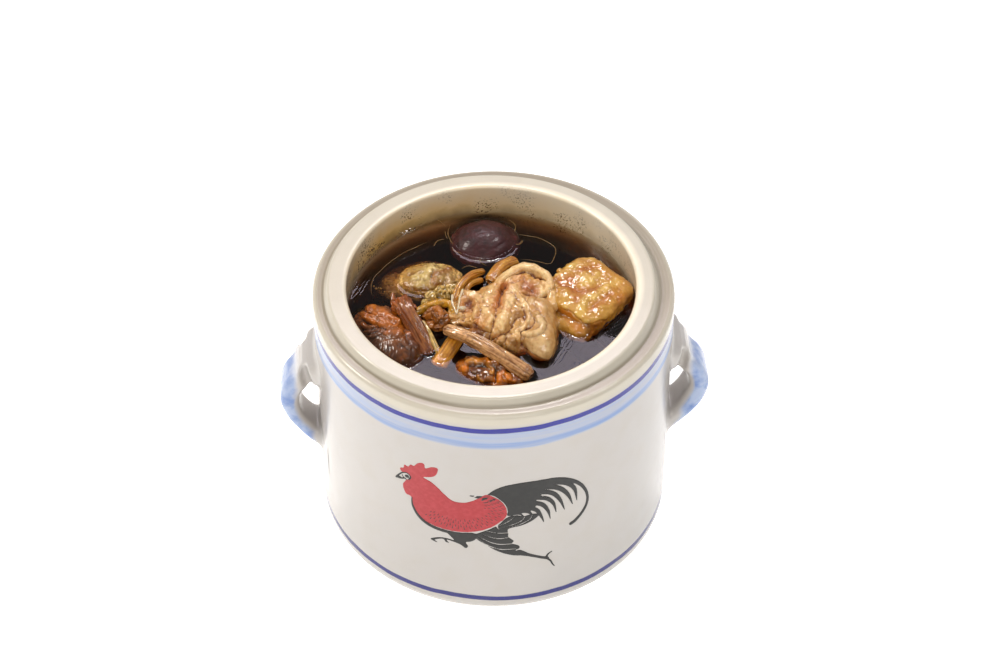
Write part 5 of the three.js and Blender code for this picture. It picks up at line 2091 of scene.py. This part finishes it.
def stalks() -> list[Stalk]:
    """Every stalk in the pot, each on the route of its own solid."""
    nowhere = (0, 0, 0)
    brown = {"finish": BROWN_STALK, "slot": "mushroom_stalk", "low": nowhere, "high": nowhere}
    darker = {**brown, "finish": DARK_STALK}
    orange = {"finish": ORANGE_STALK, "slot": "orange_stalk", "low": nowhere, "high": nowhere}
    olive = {"finish": OLIVE_MUSHROOM, "slot": "olive_mushroom_flesh", "low": nowhere, "high": nowhere}
    return [
        Stalk(
            "stalk_frayed", "stalk_upright", **darker, start=3.3, end=2.5, frayed=True, strands=7, groove=0.3,
            paleness=0.2, seed=101, route=[(-31.8, -2.4, 95), (-28.2, -10, 93.2), (-22.6, -20.4, 87.2)],
        ),
        Stalk(
            "stalk_slim_olive", "stalk_thin", **olive, start=1.1, end=1.2, strands=4, groove=0.2, paleness=0.5,
            seed=111, route=[(-25.2, -8.2, 91.2), (-22.6, -14, 90.4), (-19.6, -20.6, 87.2)],
        ),
        Stalk(
            "stem_curved_long", "curved_stem_long", **orange, start=1.4, end=1.4, strands=4, groove=0.3,
            paleness=0.35, seed=121, route=[(-13.6, 0.6, 90.6), (-11.6, 6.4, 92.4), (-7.4, 12.2, 92.4), (-2.4, 16.8, 90)],
        ),
        Stalk(
            "stem_curved_short", "curved_stem_short", **orange, start=1.1, end=1.1, strands=3, groove=0.3,
            paleness=0.3, seed=131, route=[(-10.6, 3.4, 90.2), (-7.6, 9, 91.2), (-3, 13, 89.6)],
        ),
        Stalk(
            "stalk_ribbed", "ribbed_stalk", **orange, start=2.4, end=2.7, strands=2, groove=0.05, rings=0.07,
            ring_pitch=0.8, warmth=0.3, seed=141, route=[(-0.8, 9.6, 91.4), (3.6, 15.6, 92.2), (8.8, 20, 90.6)],
        ),
        Stalk(
            "stem_front_long", "front_stem", **brown, start=2.1, end=2.9, strands=8, groove=0.22, paleness=0.6,
            seed=151, route=[(-17.4, -14.4, 93.2), (-9.4, -20.6, 94.4), (-0.6, -27.2, 93.4), (10.4, -35.6, 90)],
        ),
        Stalk(
            "stalk_short_orange", "short_stalk", **orange, start=2.1, end=2.5, flat=1.25, strands=11, groove=0.14,
            paleness=0.5, warmth=0.5, seed=161, route=[(-13, -15.4, 90), (-16.4, -20, 88.6), (-20.4, -25.4, 85.4)],
        ),
    ]


@dataclass
class JellyStrands(Food):
    """Glassy strands of jelly at the left tip of the meat."""

    name: str = "jelly_strands"
    node: str = "chicken_centre"
    slot: str = "boiled_chicken"
    finish: WetFood = CLEAR_JELLY
    low: Triple = (-19, -12, 86)
    high: Triple = (-6, 6, 99)
    cell: float = 0.22

    def form(self, points: Points) -> np.ndarray:
        """Two strands that meet at a point, and a drop beside them."""
        first = rod([(-14.0, 1.6, 93.4), (-14.2, -2.4, 94.0), (-13.0, -7.6, 93.6)], lambda t: 0.5 - 0.2 * t)(points)
        second = rod([(-10.4, 3.0, 94.4), (-11.6, -1.6, 94.8), (-12.8, -7.4, 93.8)], lambda t: 0.45 - 0.2 * t)(points)
        drop = ball((-10.8, -5.6, 94.2), (1.2, 0.9, 0.8))(points)
        return fused(fused(first, second, 0.4), drop, 0.5)

    def grain(self, points: Points) -> np.ndarray:
        """A little slack."""
        return 0.12 * Noise(95).at(points, 1.8)


# ---------------------------------------------------------------- the soup

@dataclass(frozen=True)
class Ripple:
    """A patch of small standing waves: its middle on the view, their direction in degrees, and sizes."""

    at: tuple[float, float]
    direction: float
    half_length: float
    half_width: float
    pitch: float
    height: float = 0.008

    def rise(self, flat: np.ndarray) -> np.ndarray:
        """The waves' height at places on the view."""
        turn = math.radians(self.direction)
        own = flat - self.at
        along = own @ (math.cos(turn), math.sin(turn))
        across = own @ (-math.sin(turn), math.cos(turn))
        level = np.column_stack([along, across, 0 * along])
        across = across + 0.2 * Noise(93).at(level, 4.0)
        inside = ease(1, 0.3, (along / self.half_length) ** 2 + (across / self.half_width) ** 2)
        return self.height * inside * np.cos(2 * np.pi * across / self.pitch)


@dataclass
class SoupPool:
    """The liquid: flat but for the rise where it wets the wall and the food, and small ripples."""

    foods: Sequence[Food]
    liquid: Broth = field(default_factory=Broth)
    into_wall: float = 0.25
    wet_rise: float = 0.45
    wet_reach: float = 0.5
    wall_rise: float = 0.8
    around: int = 720
    rings_out: int = 260
    ripples: Sequence[Ripple] = (
        Ripple((-47.5, 17.2), 57.0, 6.5, 2.2, 1.1, 0.02),
        Ripple((42.0, 23.0), -50.0, 6.5, 1.8, 1.3, 0.016),
    )

    def edge_radius(self, height: float) -> float:
        """The hollow's radius at a height near the neck."""
        share = (NECK_HEIGHT + 6 - height) / 6
        return MOUTH_RADIUS + 0.4 + 0.8 * max(0.0, share)

    def surface(self) -> Surface:
        """The closed body of liquid, with its upper face shaped by everything that stands in it."""
        around = self.around // 1
        rings = self.rings_out // 1
        edge = self.edge_radius(SOUP_LEVEL) + self.into_wall
        angles = np.linspace(0, 2 * np.pi, around, endpoint=False)
        out = np.linspace(0.2, 1, rings + 1)
        radius = edge * np.concatenate([np.linspace(0.004, 0.2, 30)[:-1], out])
        flat = np.stack([radius[:, None] * np.cos(angles), radius[:, None] * np.sin(angles)], -1).reshape(-1, 2)
        flat += RIM_OFFSET
        level = np.column_stack([flat, np.full(len(flat), SOUP_LEVEL)])
        away = np.full(len(flat), 1e9)
        for food in self.foods:
            away = np.minimum(away, food.form(level))
        rise = self.wet_rise * np.exp(-np.maximum(away, 0) / self.wet_reach)
        to_wall = edge - np.hypot(flat[:, 0] - RIM_OFFSET[0], flat[:, 1] - RIM_OFFSET[1])
        rise += self.wall_rise * np.exp(-to_wall / 1.0)
        rise += 0.02 * Noise(91).at(level, 11.0)
        seen = VIEW.flat(level)
        for ripple in self.ripples:
            rise += ripple.rise(seen)
        top = level + np.column_stack([np.zeros((len(flat), 2)), rise])
        below = []
        for height, reach in (
            (SOUP_LEVEL - 0.8, edge),
            (NECK_HEIGHT, MOUTH_RADIUS + 1.2 + self.into_wall),
            (NECK_HEIGHT - 26, BELLY_RADIUS + self.into_wall),
            (FLOOR_HEIGHT + FLOOR_ROUND, BELLY_RADIUS + self.into_wall),
            (FLOOR_HEIGHT + 4, BELLY_RADIUS - 4),
            (FLOOR_HEIGHT - 0.2, BELLY_RADIUS - FLOOR_ROUND),
            (FLOOR_HEIGHT - 0.2, 0.2),
        ):
            below.append(
                np.stack(
                    [
                        reach * np.cos(angles) + RIM_OFFSET[0],
                        reach * np.sin(angles) + RIM_OFFSET[1],
                        np.full(around, height),
                    ],
                    1,
                )
            )
        points = np.vstack([top, *below])
        rows = len(radius) + len(below)
        faces = grid_faces(rows, around, wrap=True)[:, ::-1]
        caps = []
        for row, turned, height in ((0, False, SOUP_LEVEL), (rows - 1, True, FLOOR_HEIGHT - 0.2)):
            middle = len(points)
            points = np.vstack([points, [RIM_OFFSET[0], RIM_OFFSET[1], height]])
            if row == 0:
                points[-1, 2] = top[:around, 2].mean()
            start = row * around
            for j in range(0, around, 2):
                ring_of = [start + j, start + (j + 1) % around, start + (j + 2) % around]
                caps.append([middle, *(ring_of[::-1] if turned else ring_of)])
        return Surface(points, np.vstack([faces, caps]))

    def build(self) -> None:
        """Makes the liquid's piece."""
        make_piece("soup_liquid", self.surface(), self.liquid.material(), "clear_soup", ["soup"])


@dataclass
class OilThreads:
    """The thin edges of the oil film, bubbles along one of them, fibres round the date, and dark lines laid where
    ripples show in the soup, as painted reflection.
    """

    thickness: float = 0.11
    flatness: float = 0.4
    around: int = 6
    lines: Sequence[Sequence[tuple[float, float]]] = (
        (
            (-25.3, 31.5), (-29.2, 29.6), (-33.2, 27.8), (-38.3, 24.3), (-41.2, 21.6), (-43.3, 19.5),
            (-44.4, 16.9), (-44.5, 14.2), (-44.1, 12.9),
        ),
        (
            (5.7, 34.3), (8.8, 33.7), (13.5, 32.8), (17.3, 30.9), (19.2, 29), (18.9, 26.5), (17.3, 24),
            (13.5, 24.6), (10.4, 25.2), (6.9, 25.5),
        ),
        ((5.3, 30.6), (7.2, 30.9), (7.9, 31.8)),
        ((-19.2, 32.5), (-21.7, 31.8), (-22.9, 29.9)),
        ((-22, 39.1), (-20.2, 38.2), (-19, 36.7)),
        ((-19, 35.3), (-18.8, 33.9), (-18.2, 32.6)),
        ((3.2, 39.1), (5.2, 37.3), (5.1, 34.7)),
        ((5.8, 30.4), (6.9, 31), (7.7, 32.1)),
        ((-16.7, 29.8), (-15.8, 28.4), (-13.2, 27.4)),
        ((-7.5, 26.7), (-6.5, 24.4), (-4.6, 23.2)),
        ((-17.3, 37.3), (-18, 34.7), (-17.4, 32.6), (-16.1, 30.4)),
        ((-13.2, 22.3), (-10.7, 23.2), (-7.5, 22.3)),
        ((1.7, 28.7), (3.2, 30.4), (4, 32.6)),
    )
    ripple_reflection_lines: Sequence[tuple[float, float, float, float, float, int]] = (
        (21.3, -4.7, 58.0, 8.5, 2.6, 6),
        (39.2, 2.6, 37.0, 6.0, 2.8, 7),
        (-27.4, -7.8, 33.0, 4.6, 2.0, 4),
    )
    bubbles: Sequence[tuple[float, float, float]] = (
        (-43.6, 16.1, 0.35), (-42.8, 15.3, 0.45), (-42, 15.5, 0.3), (-41.2, 15.3, 0.4),
        (-39.9, 14.2, 0.35), (-39.1, 14.3, 0.3), (-38, 14.1, 0.45),
    )

    def thread(self, route: Points) -> Surface:
        """A fine round thread along a route, tapered at its ends."""
        steps = max(8, int(np.linalg.norm(np.diff(route, axis=0), axis=1).sum() / 0.5))
        centre = smooth_route(route, steps)
        way = np.gradient(centre, axis=0)
        side = np.cross(way, (0, 0, 1.0))
        side /= np.linalg.norm(side, axis=1)[:, None]
        turn, share = np.meshgrid(
            np.linspace(0, 2 * np.pi, self.around, endpoint=False), np.linspace(0, 1, steps + 1)
        )
        size = self.thickness * np.sqrt(np.clip(8 * np.minimum(share, 1 - share), 0.02, 1))
        across = (size * np.cos(turn))[..., None] * side[:, None]
        points = centre[:, None] + across + (size * np.sin(turn))[..., None] * (0, 0, self.flatness)
        faces = grid_faces(steps + 1, self.around, wrap=True)[:, ::-1]
        return Surface(points.reshape(-1, 3), faces)

    def sheaf(self, u: float, v: float, direction: float, half: float, spread: float, count: int) -> list:
        """Routes of nested fine dark lines, painted reflections of ripples: their middle on the view, direction, half
        length, half spread, number.
        """
        turn = math.radians(direction)
        ahead, aside = np.array([math.cos(turn), math.sin(turn)]), np.array([-math.sin(turn), math.cos(turn)])
        routes = []
        for i in range(count):
            share = 2 * i / (count - 1) - 1
            run = np.linspace(-1, 1, 7)[:, None] * half * (1 - 0.35 * share * share)
            bow = spread * share * (1 - 0.55 * (run / half) ** 2) + 0.25 * np.sin(2.3 * run + i)
            routes.append((u, v) + run * ahead + bow * aside)
        return routes

    def build(self) -> None:
        """Makes every thread and bubble as one piece."""
        edges = [(route, 0.0) for route in self.lines]
        # Painted reflection: the ripple lines are dark threads, fully marked with the deep colour.
        edges += [(route, 1.0) for sheaf in self.ripple_reflection_lines for route in self.sheaf(*sheaf)]
        parts = []
        for route, dark in edges:
            parts.append(self.thread(VIEW.on_level(route, SOUP_LEVEL + 0.03)))
            parts[-1].marks["crease"] = np.full(len(parts[-1].points), dark)
        for u, v, size in self.bubbles:
            middle = VIEW.on_level([(u, v)], SOUP_LEVEL)[0]
            low, high = middle - size - 0.2, middle + size + 0.2
            parts.append(skin_of_field(ball(tuple(middle), (size, size, size)), low, high, size / 5))
            parts[-1].marks["crease"] = np.zeros(len(parts[-1].points))
        made = reduce(Surface.joined, parts)
        made.marks |= {"tone": np.full(len(made.points), 0.2), "warm": np.full(len(made.points), 0.3)}
        make_piece("oil_threads", made, OIL_FILM.material(), "clear_soup", ["soup"])


# ---------------------------------------------------------------- the studio

@dataclass
class Studio:
    """A pale floor, soft light from all round with a window-like key, and the photograph's view."""

    floor_half: float = 3000.0

    def camera(self) -> None:
        """Sets the camera where it sees what the photograph shows, for a frame 1000 by 666; the frame's size isn't
        set here.
        """
        data = bpy.data.cameras.new("camera")
        data.lens = VIEW.lens
        data.sensor_width = 36.0
        data.clip_end = 20.0
        made = bpy.data.objects.new("camera", data)
        made.location = VIEW.camera() * MM
        made.rotation_euler = (math.radians(90 - VIEW.elevation), 0, math.radians(VIEW.azimuth))
        bpy.context.scene.collection.objects.link(made)
        bpy.context.scene.camera = made

    def floor(self) -> None:
        """A plain white sheet lit a little from below, as on a light table, so that shadows stay faint."""
        half = self.floor_half * MM
        mesh = bpy.data.meshes.new("floor")
        mesh.from_pydata(
            [(-half, -half, 0), (half, -half, 0), (half, half, 0), (-half, half, 0)], [], [(0, 1, 2, 3)]
        )
        sheet, put = new_material("matt_white_paper_sheet")
        grain = put("TexNoise", {"Vector": put("TexCoord", out="Object"), "Scale": 1 / (3 * MM)})
        bump = put("Bump", {"Height": grain, "Strength": 0.05, "Distance": 0.05 * MM})
        white = linear("#fefefd")
        shader = put("BsdfPrincipled", {
            "Base Color": white, "Roughness": 0.9, "Normal": bump, "Emission Color": white, "Emission Strength": 0.5,
        })
        put("OutputMaterial", {"Surface": shader})
        mesh.materials.append(sheet)
        made = bpy.data.objects.new("floor", mesh)
        bpy.context.scene.collection.objects.link(made)
        made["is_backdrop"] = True

    def area(
        self, name: str, at: Triple, size: tuple[float, float], power: float, colour: str = "#ffffff"
    ) -> None:
        """A soft light of a width and height that looks at the mouth of the pot."""
        data = bpy.data.lights.new(name, "AREA")
        data.shape = "RECTANGLE"
        data.size, data.size_y = size[0] * MM, size[1] * MM
        data.energy = power
        data.color = linear(colour)[:3]
        made = bpy.data.objects.new(name, data)
        place = np.array(at, float)
        made.location = place * MM
        way = np.array([0, 0, 80.0]) - place
        way /= np.linalg.norm(way)
        made.rotation_euler = (math.acos(-way[2]), 0, math.atan2(-way[0], way[1]))
        bpy.context.scene.collection.objects.link(made)

    def lights(self) -> None:
        """A bright sky of plain white and three soft boxes."""
        world = bpy.data.worlds.new("white_surround")
        world.use_nodes = True
        world.node_tree.nodes.clear()
        back = add_node(world.node_tree, "Background", {"Color": linear("#fdfcfa"), "Strength": 0.3})
        add_node(world.node_tree, "OutputWorld", {"Surface": back})
        bpy.context.scene.world = world
        self.area("key_left", (-600, 160, 720), (200, 200), 3.8, "#fff9f0")
        self.area("fill_right", (500, 40, 980), (160, 160), 1.9)
        self.area("front_high", (-60, -950, 620), (900, 300), 4.4, "#fffaf2")
        self.area("panel_back", (20, 635, 881), (430, 240), 1.85, "#f3e6f5")
        self.area("glint_back", (60, 520, 990), (240, 60), 2.8, "#fffcf6")

    def build(self) -> None:
        """Sets the whole studio."""
        self.camera()
        self.floor()
        self.lights()
        bpy.context.scene.view_settings.view_transform = "Standard"
        bpy.context.scene.view_settings.look = "None"


# ---------------------------------------------------------------- all together

def write_sizes() -> None:
    """Works out the solids' box and the dressed model's box as plain lists of numbers, and uses them no further."""
    boxes = {"cad": cad_box, "visual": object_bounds()}
    plain = {name: [[float(v) for v in corner] for corner in box] for name, box in boxes.items()}


def main() -> None:
    """Builds the studio, the pot, the food and then the soup round it."""
    logging.basicConfig(level=logging.INFO, format="%(message)s")
    Studio().build()
    Pot().build()
    PaintedRooster().build()
    foods: list[Food] = [
        CentreChicken(),
        RightChicken(),
        LeftChicken(),
        RedDate(),
        LeftMushroom(),
        WrinkledCap(),
        OliveFrill(),
        AmberMushroom(),
        *stalks(),
        JellyStrands(),
    ]
    for food in foods:
        food.build()
    SoupPool(foods).build()
    OilThreads().build()
    write_sizes()


if __name__ == "__main__":
    main()
